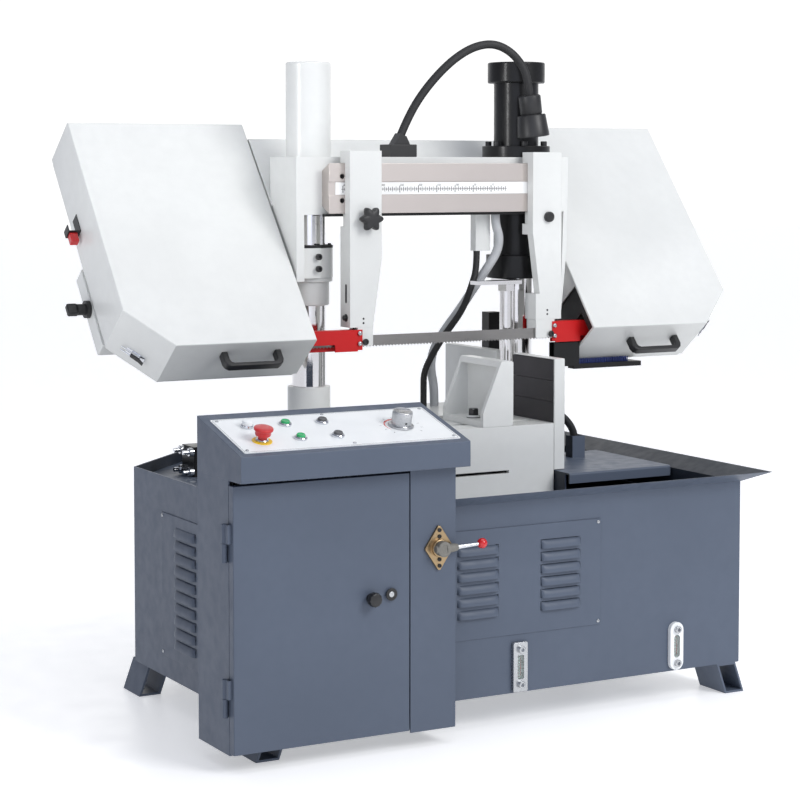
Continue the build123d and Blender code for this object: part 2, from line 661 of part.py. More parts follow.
def left_column():
    return rod((COLUMN_X0, COLUMN_Y, BED_TOP_Z - 6), (COLUMN_X0, COLUMN_Y, 1240), COLUMN_R)


def piston_rod():
    """The fixed rod of the lift cylinder, with its piston."""
    shaft = rod((COLUMN_X1, COLUMN_Y, 590), (COLUMN_X1, COLUMN_Y, 1160), COLUMN_R)
    piston = rod((COLUMN_X1, COLUMN_Y, 1160), (COLUMN_X1, COLUMN_Y, 1200), 47.94)
    return shaft + piston


def cylinder_barrel():
    """The lift cylinder's moving barrel: lower gland, tube, flange and cap."""
    x, y = COLUMN_X1, COLUMN_Y
    bore = 48.0
    barrel = rod((x, y, 982), (x, y, 1404), 55)
    gland = fillet(rod((x, y, 925), (x, y, 982), 73.5).edges(), 2)
    flange = fillet(rod((x, y, BEAM_Z1), (x, y, 1250), 83.5).edges().group_by(Axis.Z)[-1], 2)
    cap = fillet(rod((x, y, 1404), (x, y, 1455), 70.5).edges(), 4)
    body = barrel + gland + flange + cap
    body -= rod((x, y, 960), (x, y, 1398), bore)
    body -= rod((x, y, 900), (x, y, 1000), COLUMN_R + RUNNING_FIT)
    for angle in range(0, 360, 60):
        turn = math.radians(angle + 15)
        bolt_x = x + 70 * math.cos(turn)
        bolt_y = y + 70 * math.sin(turn)
        body += rod((bolt_x, bolt_y, 1250), (bolt_x, bolt_y, 1261), 7.5)
    return body


def column_sleeves():
    """The lower bearing on the left column, and the closed tube over the column's top."""
    x, y = COLUMN_X0, COLUMN_Y
    clamp = rod((x, y, 940), (x, y, 999), 57)
    clamp += block(BEAM_X0 + 20, x, 228, BEAM_Y1 - 1, 940, 999)
    wiper = rod((x, y, 999), (x, y, 1010), 57) + block(BEAM_X0 + 20, x, 228, BEAM_Y1 - 1, 999, 1010)
    flange = fillet(rod((x, y, 930), (x, y, 940), 56).edges(), 2)
    sleeve = fillet(rod((x, y, 874), (x, y, 930), 48.5).edges().group_by(Axis.Z)[0], 4)
    bearing = clamp + wiper + flange + sleeve
    bearing -= rod((x, y, 860), (x, y, 1020), COLUMN_R + RUNNING_FIT)
    bearing -= block(BEAM_X0 - 1, BEAM_X0 + 20, BEAM_Y0, BEAM_Y1, 860, 1020)
    for z in (990, 962):
        bearing += rod((x - 10, 222, z), (x - 10, 250, z), 7) - rod((x, y, 860), (x, y, 1020), COLUMN_R + 5)
    cover = fillet(rod((x, y, BEAM_Z1), (x, y, 1443), 53).edges().group_by(Axis.Z)[-1], 5)
    cover -= rod((x, y, BEAM_Z1 - 1), (x, y, 1438), 49.5)
    return Compound([bearing, cover])


# Bow

def outer_x(side):
    """The x of a housing's outer wall."""
    return HOOD_OUTER_X if side < 0 else mirrored(HOOD_OUTER_X)


def inner_x(side):
    """The x of a housing's wall beside the beam."""
    return HOOD_INNER_X if side < 0 else RIGHT_HOOD_INNER_X


def housing_outline(side, inset):
    """One blade housing's outline, seen square to its face; side is -1 left, +1 right."""
    corner = HOOD_CORNER + inset * (math.sqrt(2) - 2)
    x_out = outer_x(side) - side * inset
    x_in = inner_x(side) + side * inset
    return [
        (x_out, inset + corner),
        (x_out - side * corner, inset),
        (x_in, inset),
        (x_in, HOOD_LENGTH - inset),
        (x_out, HOOD_LENGTH - inset),
    ]


def hinge_places(side):
    """The two x positions of a hood's hinges."""
    places = (-600.0, -330.0)
    return places if side < 0 else tuple(mirrored(x) for x in places)


def hood(side):
    """A folded sheet hood, open at the back, with slots for the blade in its inner wall."""
    outer = prism_z(housing_outline(side, 0), -HOOD_DEPTH, 0)
    outer = fillet(outer.edges().group_by(Axis.Z)[-1], 3)
    shell = outer - prism_z(housing_outline(side, HOOD_SHEET), -HOOD_DEPTH - 1, -HOOD_SHEET)
    wall_x = inner_x(side)
    shell -= block(wall_x - 6, wall_x + 6, 5, 130, -HOOD_DEPTH - 1, -6)
    shell -= block(wall_x - 6, wall_x + 6, BLADE_TOP_S - 30, BLADE_TOP_S + 30, -HOOD_DEPTH - 1, -30)
    for x in hinge_places(side):
        leaf = block(x - 15, x + 15, HOOD_LENGTH - 1, HINGE_S - 3.5, -HOOD_DEPTH + 1, -110)
        leaf += block(x - 15, x + 15, HOOD_LENGTH, HINGE_S, HINGE_N, HINGE_N + 9)
        barrel = rod((x - 15, HINGE_S, HINGE_N), (x + 15, HINGE_S, HINGE_N), 6)
        shell += leaf + barrel
        shell -= rod((x - 16, HINGE_S, HINGE_N), (x + 16, HINGE_S, HINGE_N), 3 + RUNNING_FIT)
    return in_housing(shell)


def bridge_handle(side):
    """A pull handle on a hood's lower face."""
    middle = -401.0 if side < 0 else 706.0
    depth = -42.0 if side < 0 else -58.0
    half = 65.0
    reach = -40.0
    path = [(middle - half, depth), (middle + half, depth)]
    grip = block(path[0][0] - 8, path[1][0] + 8, reach, reach + 12, depth - 10, depth + 10)
    grip = fillet(grip.edges(), 3)
    for x, n in path:
        grip += block(x - 8, x + 8, reach + 4, 0, n - 8, n + 8)
    return in_housing(grip)


def back_plate(side):
    """The wheel case's back plate, with the hinge pins of its hood."""
    plate = prism_z(housing_outline(side, 5), PLATE_N0, PLATE_N1)
    for x in hinge_places(side):
        for start, end in ((x - 30, x - 15.5), (x + 15.5, x + 30)):
            plate += rod((start, HINGE_S, HINGE_N), (end, HINGE_S, HINGE_N), 6)
            plate += block(start, end, HOOD_LENGTH - 20, HINGE_S, PLATE_N0, PLATE_N0 + 4)
        plate += rod((x - 20, HINGE_S, HINGE_N), (x + 20, HINGE_S, HINGE_N), 3)
    return plate


def bow_frame():
    """The welded bow: beam, left bearing bracket, middle box and both back plates."""
    beam = block(BEAM_X0, BEAM_X1, BEAM_Y0, BEAM_Y1, BEAM_Z0, BEAM_Z1)
    beam = fillet(beam.edges().filter_by(Axis.Z), 3)
    web_outline = [(BEAM_Y1, 1095), (BEAM_Y1, BEAM_Z1), (424, BEAM_Z1), (331, 1108)]
    web = prism_x(web_outline, HOOD_INNER_X + 10, BEAM_X1 - 5)
    conduit_box = block(256, 297, 238, 262, 995, BEAM_Z0)
    bracket = block(BEAM_X0, BEAM_X0 + 20, BEAM_Y0, BEAM_Y1 - 1, 934, BEAM_Z0)
    x0, x1 = HOOD_INNER_X + 3, RIGHT_HOOD_INNER_X - 3
    middle = block(x0, x1, 385, 588, PLATE_N1, 0)
    middle = fillet(middle.edges().filter_by(Axis.X).group_by(Axis.Z)[-1].sort_by(Axis.Y)[-1], 4)
    middle -= block(x0 - 1, x1 + 1, 389, 584, PLATE_N1 - 1, -4)
    backbone = block(HOOD_INNER_X - 20, RIGHT_HOOD_INNER_X + 20, 385, 588, PLATE_N0, PLATE_N1)
    left_plate = back_plate(-1) - idler_slot()
    drive_x = mirrored(WHEEL_X)
    right_plate = back_plate(1)
    right_plate -= rod((drive_x, WHEEL_S, PLATE_N0 - 1), (drive_x, WHEEL_S, PLATE_N1 + 1), 20)
    frame = beam + web + bracket + conduit_box
    frame -= in_housing(block(x0 - 1, x1 + 1, 389, 584, PLATE_N1 - 1, -4))
    rear = in_housing(middle + backbone)
    rear -= block(x0 - 60, x1 + 60, BEAM_Y1, 600, 900, REAR_BOX_Z0)
    frame += rear + in_housing(left_plate + right_plate)
    frame -= rod((COLUMN_X0, COLUMN_Y, 900), (COLUMN_X0, COLUMN_Y, BEAM_Z1 + 1), COLUMN_R + 2)
    frame -= rod((COLUMN_X1, COLUMN_Y, 900), (COLUMN_X1, COLUMN_Y, BEAM_Z1 + 1), 55.2)
    return frame


def idler_slot():
    """The long hole that lets the idler's shaft move when the blade is tightened."""
    slot = block(WHEEL_X - 30, WHEEL_X + 30, WHEEL_S - 20, WHEEL_S + 20, PLATE_N0 - 1, PLATE_N1 + 1)
    return fillet(slot.edges().filter_by(Axis.Z), 19)


def dovetail_rail():
    z_mid = 1149.0
    profile = [(RAIL_FRONT_Y, z_mid - 58), (RAIL_FRONT_Y, z_mid + 58)]
    profile += [(BEAM_Y0, z_mid + 40), (BEAM_Y0, z_mid - 40)]
    rail = prism_x(profile, -176, 440)
    rail -= block(-177, 441, RAIL_FRONT_Y - 1, RAIL_FRONT_Y + 3, z_mid - 15.5, z_mid + 15.5)
    for x in (-142, 400):
        for z in (z_mid - 28, z_mid + 28):
            rail -= rod((x, RAIL_FRONT_Y - 1, z), (x, RAIL_FRONT_Y + 14, z), 6)
    return rail


def ruler_scale():
    return block(-159, 380, RAIL_FRONT_Y + 0.5, RAIL_FRONT_Y + 3, 1134.5, 1163)


def arm_hooks(x0, x1):
    """The hook over the rail and the shoulder under it."""
    hook = block(x0, x1, ARM_FRONT_Y, ARM_BACK_Y, 1207.5, ARM_TOP_Z)
    shoulder = block(x0, x1, ARM_FRONT_Y, ARM_BACK_Y, 1035, 1061)
    gib = block(x0 + 4, x1 - 4, RAIL_FRONT_Y, ARM_BACK_Y - 6, 1061, 1090.5)
    return hook + shoulder + gib


def left_arm():
    """The sliding blade-guide arm, hooked over the rail."""
    x0, x1 = -135.0, -52.0
    upper = block(x0, x1, ARM_FRONT_Y, RAIL_FRONT_Y - 0.3, 985, ARM_TOP_Z)
    outline = [(x0, 828), (x1 - 23, 828), (x1, 985), (x1, 1061), (x0, 1061)]
    lower = prism_y(outline, ARM_FRONT_Y, ARM_BACK_Y)
    arm = upper + arm_hooks(x0, x1) + lower
    arm -= rod((STAR_X, ARM_FRONT_Y - 1, STAR_Z), (STAR_X, RAIL_FRONT_Y - 1, STAR_Z), 6 + RUNNING_FIT)
    return arm


def right_arm():
    """The fixed blade-guide arm, with its tapering side rib."""
    x0, x1 = 363.0, 445.0
    outline = [(x0, 1040), (x0, ARM_TOP_Z - 2), (x1, ARM_TOP_Z - 2)]
    outline += [(x1, 829.5), (x0 + 20, 829.5), (x0 + 20, 892)]
    face = prism_y(outline, ARM_FRONT_Y, RAIL_FRONT_Y - 0.3)
    foot = block(x0 + 9, x1, ARM_FRONT_Y, ARM_BACK_Y, 829.5, 892)
    rib_outline = [(x1, 1223), (x1 + 26, 1223), (x1 + 22, 1000), (x1 + 7, 850), (x1, 850)]
    rib = prism_y(rib_outline, ARM_FRONT_Y + 10, ARM_FRONT_Y + 22)
    window = [(x1 + 2, 880), (x1 + 5, 880), (x1 + 12, 1090), (x1 + 2, 1090)]
    rib -= prism_y(window, ARM_FRONT_Y, ARM_FRONT_Y + 30)
    hooks = arm_hooks(x0, x1) - block(x0, x1, ARM_FRONT_Y, ARM_BACK_Y, ARM_TOP_Z - 2, ARM_TOP_Z + 1)
    pin = rod((407, ARM_FRONT_Y - 8, 1078), (407, ARM_FRONT_Y + 4, 1078), 12)
    return face + foot + rib + hooks + pin


def guide_block(x0, x1, z0, z1, screw_x):
    """A block that steadies the blade between two cheeks, open below."""
    body = block(x0, x1, ARM_FRONT_Y, ARM_BACK_Y - 6, z0, z1)
    body = fillet(body.edges().filter_by(Axis.Y), 2)
    blade_gap = 1.3
    slot_top = BLADE_Z + BLADE_WIDTH / 2 + 1
    body -= block(x0 - 1, x1 + 1, BLADE_Y - blade_gap, BLADE_Y + blade_gap, z0 - 1, slot_top)
    screw_z = z0 + 10
    return body + rod((screw_x, ARM_FRONT_Y - 5, screw_z), (screw_x, ARM_FRONT_Y + 2, screw_z), 4.5)


def guard_channel(x0, x1, z0, z1, step_x, step_z):
    """A folded guard over the blade: a front face, a roof and a back face."""
    sheet = 2.5
    front = ARM_FRONT_Y - sheet
    back = BLADE_Y + 16
    face = block(x0, x1, front, front + sheet, z0, z1)
    cut_x0, cut_x1 = (x0 - 1, step_x) if x0 < 0 else (step_x, x1 + 1)
    face -= block(cut_x0, cut_x1, front - 1, front + sheet + 1, z0 - 1, step_z)
    roof = block(x0, x1, front, back, z1 - sheet, z1)
    rear = block(x0, x1, back - sheet, back, z0, z1)
    return face + roof + rear


def left_guard():
    guard = guard_channel(-245, -116, 773, 823, -175, 790)
    tab = block(-118, -104, ARM_FRONT_Y - 2.5, ARM_FRONT_Y, 776, 823)
    bolts = rod((-112, ARM_FRONT_Y - 6, 815), (-112, ARM_FRONT_Y, 815), 5)
    bolts += rod((-112, ARM_FRONT_Y - 6, 791), (-112, ARM_FRONT_Y, 791), 5)
    return guard + tab + bolts


def right_guard():
    guard = guard_channel(428, 545, 773, 824, 500, 786)
    tab = block(419, 430, ARM_FRONT_Y - 2.5, ARM_FRONT_Y, 776, 824)
    bolts = rod((424, ARM_FRONT_Y - 6, 814), (424, ARM_FRONT_Y, 814), 5)
    bolts += rod((424, ARM_FRONT_Y - 6, 789), (424, ARM_FRONT_Y, 789), 5)
    return guard + tab + bolts


def star_knob():
    """A six-lobed clamp knob on its stud."""
    x, z, y0 = STAR_X, STAR_Z, ARM_FRONT_Y
    hub = rod((x, y0 - 30, z), (x, y0 - 8, z), 20)
    for index in range(6):
        turn = math.radians(60 * index + 10)
        lobe_x = x + 22 * math.cos(turn)
        lobe_z = z + 22 * math.sin(turn)
        hub += rod((lobe_x, y0 - 29, lobe_z), (lobe_x, y0 - 10, lobe_z), 7.5)
    neck = rod((x, y0 - 9, z), (x, y0 - 0.3, z), 12)
    return hub + neck + rod((x, y0 - 1, z), (x, RAIL_FRONT_Y - 2, z), 6)


def band_section(x, angle):
    """The blade's cross-section at x, turned by angle from upright."""
    half_w = BLADE_WIDTH / 2
    half_t = BLADE_THICKNESS / 2
    sin, cos = math.sin(angle), math.cos(angle)
    corners = [(-half_t, -half_w), (half_t, -half_w), (half_t, half_w), (-half_t, half_w)]
    points = [(x, BLADE_Y + t * cos - w * sin, BLADE_Z + t * sin + w * cos) for t, w in corners]
    return make_face(Polyline(*points, close=True))


def blade_twist(x_upright, x_tilted):
    """The stretch that turns from upright at the guide to the wheel's plane."""
    steps = 6
    faces = []
    for index in range(steps + 1):
        part = index / steps
        faces.append(band_section(x_upright + (x_tilted - x_upright) * part, TILT * part))
    pieces = [loft([faces[i], faces[i + 1]], ruled=True) for i in range(steps)]
    twist = pieces[0]
    for piece in pieces[1:]:
        twist += piece
    return twist


def saw_blade():
    """The endless blade: upright in the guides, twisted to run on both wheels."""
    half_w = BLADE_WIDTH / 2
    half_t = BLADE_THICKNESS / 2
    left_x, right_x = WHEEL_X, mirrored(WHEEL_X)
    band = block(-118, 430, BLADE_Y - half_t, BLADE_Y + half_t, BLADE_Z - half_w, BLADE_Z + half_w)
    band += blade_twist(-118, -400) + blade_twist(430, mirrored(-400))
    low0, low1 = BLADE_S - half_t, BLADE_S + half_t
    top0, top1 = BLADE_TOP_S - half_t, BLADE_TOP_S + half_t
    n0, n1 = BLADE_N - half_w, BLADE_N + half_w
    flat = block(left_x, -400, low0, low1, n0, n1) + block(mirrored(-400), right_x, low0, low1, n0, n1)
    flat += block(left_x, right_x, top0, top1, n0, n1)
    for x, cut in ((left_x, (left_x, left_x + 300)), (right_x, (right_x - 300, right_x))):
        radius = WHEEL_R + WHEEL_GAP
        ring = pipe((x, WHEEL_S, n0), (x, WHEEL_S, n1), radius + BLADE_THICKNESS, radius)
        flat += ring - block(cut[0], cut[1], WHEEL_S - 300, WHEEL_S + 300, n0 - 1, n1 + 1)
    return band + in_housing(flat)


def band_wheel(x, shaft_r):
    """A cast band wheel: flanged rim, thin web with round holes, and hub."""
    n0, n1 = BLADE_N - 10, BLADE_N + 14
    rim = pipe((x, WHEEL_S, n0), (x, WHEEL_S, n1), WHEEL_R, WHEEL_R - 16)
    web = rod((x, WHEEL_S, BLADE_N - 4), (x, WHEEL_S, BLADE_N + 4), WHEEL_R - 10)
    for index in range(6):
        turn = math.radians(60 * index)
        hole_x = x + 110 * math.cos(turn)
        hole_s = WHEEL_S + 110 * math.sin(turn)
        web -= rod((hole_x, hole_s, BLADE_N - 10), (hole_x, hole_s, BLADE_N + 10), 32)
    hub = rod((x, WHEEL_S, BLADE_N - 30), (x, WHEEL_S, BLADE_N + 24), 38)
    bore = rod((x, WHEEL_S, BLADE_N - 40), (x, WHEEL_S, BLADE_N + 40), shaft_r + RUNNING_FIT)
    flange = pipe((x, WHEEL_S, n1), (x, WHEEL_S, n1 + 4), WHEEL_R + 5, WHEEL_R - 16)
    return in_housing(rim + web + hub + flange - bore)


def wheel_shaft(x, shaft_r, n_end):
    """A shaft through the wheel's hub, with its end washer and shoulder."""
    shaft = rod((x, WHEEL_S, n_end), (x, WHEEL_S, BLADE_N + 34), shaft_r)
    washer = rod((x, WHEEL_S, BLADE_N + 24.5), (x, WHEEL_S, BLADE_N + 32), shaft_r + 10)
    shoulder = rod((x, WHEEL_S, n_end), (x, WHEEL_S, BLADE_N - 30.5), shaft_r + 3)
    return shaft + washer + shoulder


def tension_slide():
    """The carrier that moves the idler's shaft, in its guide box, with the screw's bearing."""
    guide = block(HOOD_OUTER_X, WHEEL_X + 110, WHEEL_S - 110, WHEEL_S + 100, -190, PLATE_N0)
    guide = fillet(guide.edges().filter_by(Axis.Z), 4)
    guide -= block(HOOD_OUTER_X + 10, WHEEL_X + 98, WHEEL_S - 60, WHEEL_S + 60, -182, PLATE_N0 + 1)
    carrier = block(WHEEL_X - 60, WHEEL_X + 60, WHEEL_S - 60, WHEEL_S + 60, -182, PLATE_N0 - 2)
    screw_hole = rod((HOOD_OUTER_X - 10, WHEEL_S, KNOB_N), (WHEEL_X - 40, WHEEL_S, KNOB_N), 8 + RUNNING_FIT)
    return in_housing(guide + carrier + wheel_shaft(WHEEL_X, 17, -175) - screw_hole)


def tension_knob():
    """The blade-tension hand knob on its screw."""
    x = HOOD_OUTER_X - 0.3
    flange = rod((x - 10, WHEEL_S, KNOB_N), (x, WHEEL_S, KNOB_N), 20)
    body = rod((x - 30, WHEEL_S, KNOB_N), (x - 9, WHEEL_S, KNOB_N), 13)
    grip = block(x - 53, x - 28, WHEEL_S - 14, WHEEL_S + 14, KNOB_N - 8, KNOB_N + 8)
    grip = fillet(grip.edges(), 4)
    screw = rod((x - 1, WHEEL_S, KNOB_N), (WHEEL_X - 62, WHEEL_S, KNOB_N), 8)
    return in_housing(flange + body + grip + screw)


def drive_gearbox():
    """The worm gearbox behind the drive wheel, with the wheel's shaft."""
    x = mirrored(WHEEL_X)
    case = soft_block(x - 70, x + 70, WHEEL_S - 75, WHEEL_S + 75, -262, PLATE_N0 - 8, 10)
    mount = rod((x, WHEEL_S, PLATE_N0 - 9), (x, WHEEL_S, PLATE_N0), 85)
    neck = rod((x, WHEEL_S + 74, MOTOR_N), (x, WHEEL_S + 92, MOTOR_N), 52)
    return in_housing(case + mount + neck + wheel_shaft(x, 17, -200))


def drive_motor():
    """The blade motor on the gearbox, with its fan cover and terminal box."""
    x = mirrored(WHEEL_X)
    start = WHEEL_S + 92
    flange = rod((x, start, MOTOR_N), (x, start + 10, MOTOR_N), 70)
    body = rod((x, start + 10, MOTOR_N), (x, start + 190, MOTOR_N), 66)
    fan_cover = rod((x, start + 188, MOTOR_N), (x, start + 238, MOTOR_N), 69)
    fan_cover = fillet(fan_cover.edges().group_by(Axis.Y)[-1], 8)
    terminal = block(x - 120, x - 55, start + 60, start + 130, MOTOR_N - 30, MOTOR_N + 30)
    return in_housing(flange + body + fan_cover + terminal)


def brush_guard():
    """The black bracket of the chip brush, under the right guard and the hood."""
    front = prism_y([(428, 740), (446, 712), (501, 712), (501, 771), (428, 771)], 151, BLADE_Y - 1.5)
    side = block(428, 501, 171.3, 174.3, 712, 771)
    joint = block(493, 501, 151, 174.3, 712, 735)
    strip = block(500, 700, 171.3, 225, 702, 714)
    strip -= block(499, 524, 200, 226, 700, 716)
    return front + side + joint + strip


def guide_rod():
    """The plate under the gland and the rod that keeps the bow from turning."""
    outline = [(222, 168), (345, 168), (364, 215), (364, 290), (332, 290), (332, 206), (222, 206)]
    plate = prism_z(outline, 916, 925)
    plate -= rod((COLUMN_X1, COLUMN_Y, 900), (COLUMN_X1, COLUMN_Y, 930), COLUMN_R + 3)
    nut = extrude(Plane((GUIDE_X, GUIDE_Y, 900)) * RegularPolygon(22, 6), 16)
    return plate + nut + rod((GUIDE_X, GUIDE_Y, 530), (GUIDE_X, GUIDE_Y, 916), GUIDE_R)


# Cables and hoses

def cable_box():
    """The junction box on the beam, with the cable's strain relief."""
    box = soft_block(22, 94, 240, 295, BEAM_Z1, 1252, 2)
    top, after = Vector(*POWER_CABLE[0]), Vector(*POWER_CABLE[1])
    lead = (after - top).normalized()
    across = (9 * lead.Z, -9 * lead.X)
    outline = [(36, 1251), (80, 1251), (top.X + across[0], top.Z + across[1])]
    outline += [(top.X - across[0], top.Z - across[1])]
    return box + prism_y(outline, top.Y - 14, top.Y + 14)


def route_radii(points):
    """The largest tangent arc that each corner of a route has room for."""
    vectors = [Vector(*point) for point in points]
    radii = []
    for before, here, after in zip(vectors, vectors[1:], vectors[2:]):
        run = min((here - before).length, (after - here).length)
        turn = math.radians((here - before).get_angle(after - here))
        radii.append(0.45 * run / math.tan(turn / 2))
    return radii


def hose(name, points, radius):
    """A round hose along straight runs joined by tangent arcs."""
    radii = route_radii(points)
    path = FilletPolyline(*points, radius=radii)
    start = Vector(*points[0])
    profile = Plane(origin=start, z_dir=Vector(*points[1]) - start) * Circle(radius)
    tube = sweep(profile, path=path)
    ratio = tube.volume / (math.pi * radius ** 2 * path.length)
    tightest = round(min(radii))
    print(name, "length", round(path.length), "tightest arc", tightest, "volume ratio", round(ratio, 4))
    return tube


def cable_connector():
    """The heavy plug at the cable's end, and the port it sits on."""
    x, y = CONNECTOR_X, CONNECTOR_Y
    upper = Pos(0, 0, -24) * Cylinder(27, 48)
    upper = fillet(upper.edges(), 3)
    lower = Pos(0, 0, -74) * Cone(39, 34, 54)
    plug = Pos(x, y, CONNECTOR_TOP_Z) * Rot(0, -CONNECTOR_LEAN_DEG, 0) * (upper + lower)
    port_x = x + 70 * math.tan(math.radians(CONNECTOR_LEAN_DEG))
    port = rod((port_x, y, 1300), (port_x, COLUMN_Y - 40, 1300), 14)
    port -= rod((COLUMN_X1, COLUMN_Y, 1270), (COLUMN_X1, COLUMN_Y, 1330), 55)
    return plug + port


# Cable and hose routes: the corners of their straight runs
POWER_CABLE = [
    (62, 262, 1275),
    (76, 262, 1305),
    (104, 255, 1358),
    (146, 246, 1412),
    (194, 236, 1458),
    (244, 226, 1488),
    (294, 216, 1496),
    (338, 207, 1476),
    (369, 200, 1438),
    (CONNECTOR_X - 30 * math.tan(math.radians(CONNECTOR_LEAN_DEG)), CONNECTOR_Y, CONNECTOR_TOP_Z + 30),
    (CONNECTOR_X, CONNECTOR_Y, CONNECTOR_TOP_Z),
]
LIFT_CONDUIT = [
    (303, 224, 1088),
    (303, 224, 1060),
    (316, 225, 1030),
    (312, 228, 994),
    (294, 240, 958),
    (274, 262, 915),
    (250, 302, 850),
    (226, 346, 790),
    (216, 380, 740),
    (222, 398, 694),
    (236, 404, 652),
    (236, 404, 603),
]
LIFT_HOSE = [
    (266, 250, 995),
    (266, 250, 950),
    (250, 246, 912),
    (238, 268, 850),
    (214, 312, 790),
    (198, 350, 735),
    (192, 380, 690),
    (202, 398, 645),
    (202, 398, 603),
]
COOLANT_HOSE = [
    (336, 128, 628),
    (378, 128, 622),
    (430, 127, 600),
    (464, 125, 566),
    (473, 125, 530),
    (473, 125, 492),
]

PARTS = {
    "base_tank": base_tank,
    "anchor_feet": anchor_feet,
    "tray_decks": tray_decks,
    "louvre_panels": louvre_panels,
    "level_gauges": level_gauges,
    "cabinet_shell": cabinet_shell,
    "cabinet_door": cabinet_door,
    "door_knob": door_knob,
    "console_housing": console_housing,
    "control_panel": control_panel,
    "button_bezels": button_bezels,
    "stop_button": stop_button,
    "green_button_far": lambda: push_button(GREEN_X, BUTTON_ROW_FAR),
    "green_button_near": lambda: push_button(GREEN_X, BUTTON_ROW_NEAR),
    "grey_button_far": lambda: push_button(GREY_X, BUTTON_ROW_FAR),
    "grey_button_near": lambda: push_button(GREY_X, BUTTON_ROW_NEAR),
    "speed_knob": speed_knob,
    "electric_panel": electric_panel,
    "lever_plate": lever_plate,
    "feed_lever": feed_lever,
    "hydraulic_pack": hydraulic_pack,
    "coolant_pump": coolant_pump,
    "hydraulic_valves": hydraulic_valves,
    "vise_bed": vise_bed,
    "fixed_jaws": fixed_jaws,
    "jaw_plates": jaw_plates,
    "moving_jaw": moving_jaw,
    "left_column": left_column,
    "piston_rod": piston_rod,
    "cylinder_barrel": cylinder_barrel,
    "column_sleeves": column_sleeves,
    "bow_frame": bow_frame,
    "dovetail_rail": dovetail_rail,
    "ruler_scale": ruler_scale,
    "left_arm": left_arm,
    "left_guide_block": lambda: guide_block(-115, -75, 784.5, 828, -97),
    "left_guard": left_guard,
    "star_knob": star_knob,
    "right_arm": right_arm,
    "right_guide_block": lambda: guide_block(373, 426, 784.5, 829.5, 413),
    "right_guard": right_guard,
    "saw_blade": saw_blade,
    "idler_wheel": lambda: band_wheel(WHEEL_X, 17),
    "drive_wheel": lambda: band_wheel(mirrored(WHEEL_X), 17),
    "tension_slide": tension_slide,
    "tension_knob": tension_knob,
    "drive_gearbox": drive_gearbox,
    "drive_motor": drive_motor,
    "left_hood": lambda: hood(-1),
    "left_handle": lambda: bridge_handle(-1),
    "right_hood": lambda: hood(1),
    "right_handle": lambda: bridge_handle(1),
    "brush_guard": brush_guard,
    "guide_rod": guide_rod,
    "cable_box": cable_box,
    "cable_connector": cable_connector,
    "power_cable": lambda: hose("power_cable", POWER_CABLE, 10),
    "lift_conduit": lambda: hose("lift_conduit", LIFT_CONDUIT, 11),
    "lift_hose": lambda: hose("lift_hose", LIFT_HOSE, 8),
    "coolant_hose": lambda: hose("coolant_hose", COOLANT_HOSE, 9),
}

os.makedirs("parts", exist_ok=True)
for name, make in PARTS.items():
    export_step(make(), f"parts/{name}.step")
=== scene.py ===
import math

import bmesh
import bpy
from mathutils import Matrix, Vector


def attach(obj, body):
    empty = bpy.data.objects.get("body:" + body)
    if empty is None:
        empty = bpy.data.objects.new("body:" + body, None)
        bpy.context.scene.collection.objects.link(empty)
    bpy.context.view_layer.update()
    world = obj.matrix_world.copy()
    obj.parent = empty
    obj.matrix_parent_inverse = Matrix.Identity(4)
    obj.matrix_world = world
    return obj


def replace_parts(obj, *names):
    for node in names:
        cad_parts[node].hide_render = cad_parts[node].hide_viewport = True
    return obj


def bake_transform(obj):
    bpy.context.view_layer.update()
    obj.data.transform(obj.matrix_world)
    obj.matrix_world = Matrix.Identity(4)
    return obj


# Looks of the double-column band saw. Sizes are in millimetres, and MM turns them into metres.
# +X runs along the cutting run of the blade, -Y is the operator's side, +Z is up.

MM = 0.001

# Driving dimensions, named and sized as in the CAD part
TANK_HALF_X = 601.0
TANK_FRONT_Y = -358.0
CABINET_FRONT_Y = -422.0
DOOR_KNOB_X = -387.0
DOOR_KNOB_Z = 324.0
LEVER_X = -230.0
LEVER_Z = 415.0
LEVER_REACH = 93.0
BED_TOP_Z = 603.0
COLUMN_X0 = -169.0
COLUMN_X1 = 405.0
COLUMN_Y = 293.0
RAIL_FRONT_Y = 173.0
ARM_FRONT_Y = 148.0
BLADE_Y = 155.0
BLADE_Z = 795.5
BLADE_WIDTH = 27.0
BLADE_THICKNESS = 0.9
WHEEL_X = -452.5
WHEEL_R = 190.0
BOW_MIDDLE_X = 125.5
STAR_X = -89.0
STAR_Z = 1079.0
PILOT_X = -618.0
GREEN_X = -533.0
GREY_X = -449.0
SPEED_X = -288.0
SPEED_T = 96.0
MOTOR_N = -224.0
HOOD_OUTER_X = -692.0
CONNECTOR_X = 382.0
CONNECTOR_Y = 196.0
CONNECTOR_TOP_Z = 1372.0
TILT = math.radians(51.0)
CONSOLE_SLOPE = math.atan2(60.0, 211.0)

# Places and sizes that the added detail needs
LOCK_X = -342.0
LOCK_Z = 329.0
JAW_BOLT_X = 129.0
RAIL_MIDDLE_Z = 1149.0
RULER_X0 = -140.0
ARM_LEFT_X = -135.0
TOOTH_PITCH = 8.5
TOOTH_DEPTH = 3.5
BUTTON_NEAR = 66.0
BUTTON_FAR = 140.0
CAP_R = 9.2
BEZEL_R = 13.5
LOUVRE_LEFT_Y0 = -110.0
LOUVRE_LEFT_Y1 = 158.0
ARM_PIN_X = 407.0
ARM_PIN_Z = 1078.0
CONNECTOR_LEAN = math.radians(7.0)
BLADE_FLAT_X0 = -118.0
BLADE_FLAT_X1 = 430.0
BLADE_TWIST_LENGTH = 282.0
RULER_MARKS = 89
RULER_PITCH = 5.0
BRISTLE_COLUMNS = 44
BRISTLE_ROWS = 4
BRISTLE_PITCH = 3.6
BRISTLE_LENGTH = 14.0
WIPER_Z0 = 1009.6
WIPER_Z1 = 1016.0

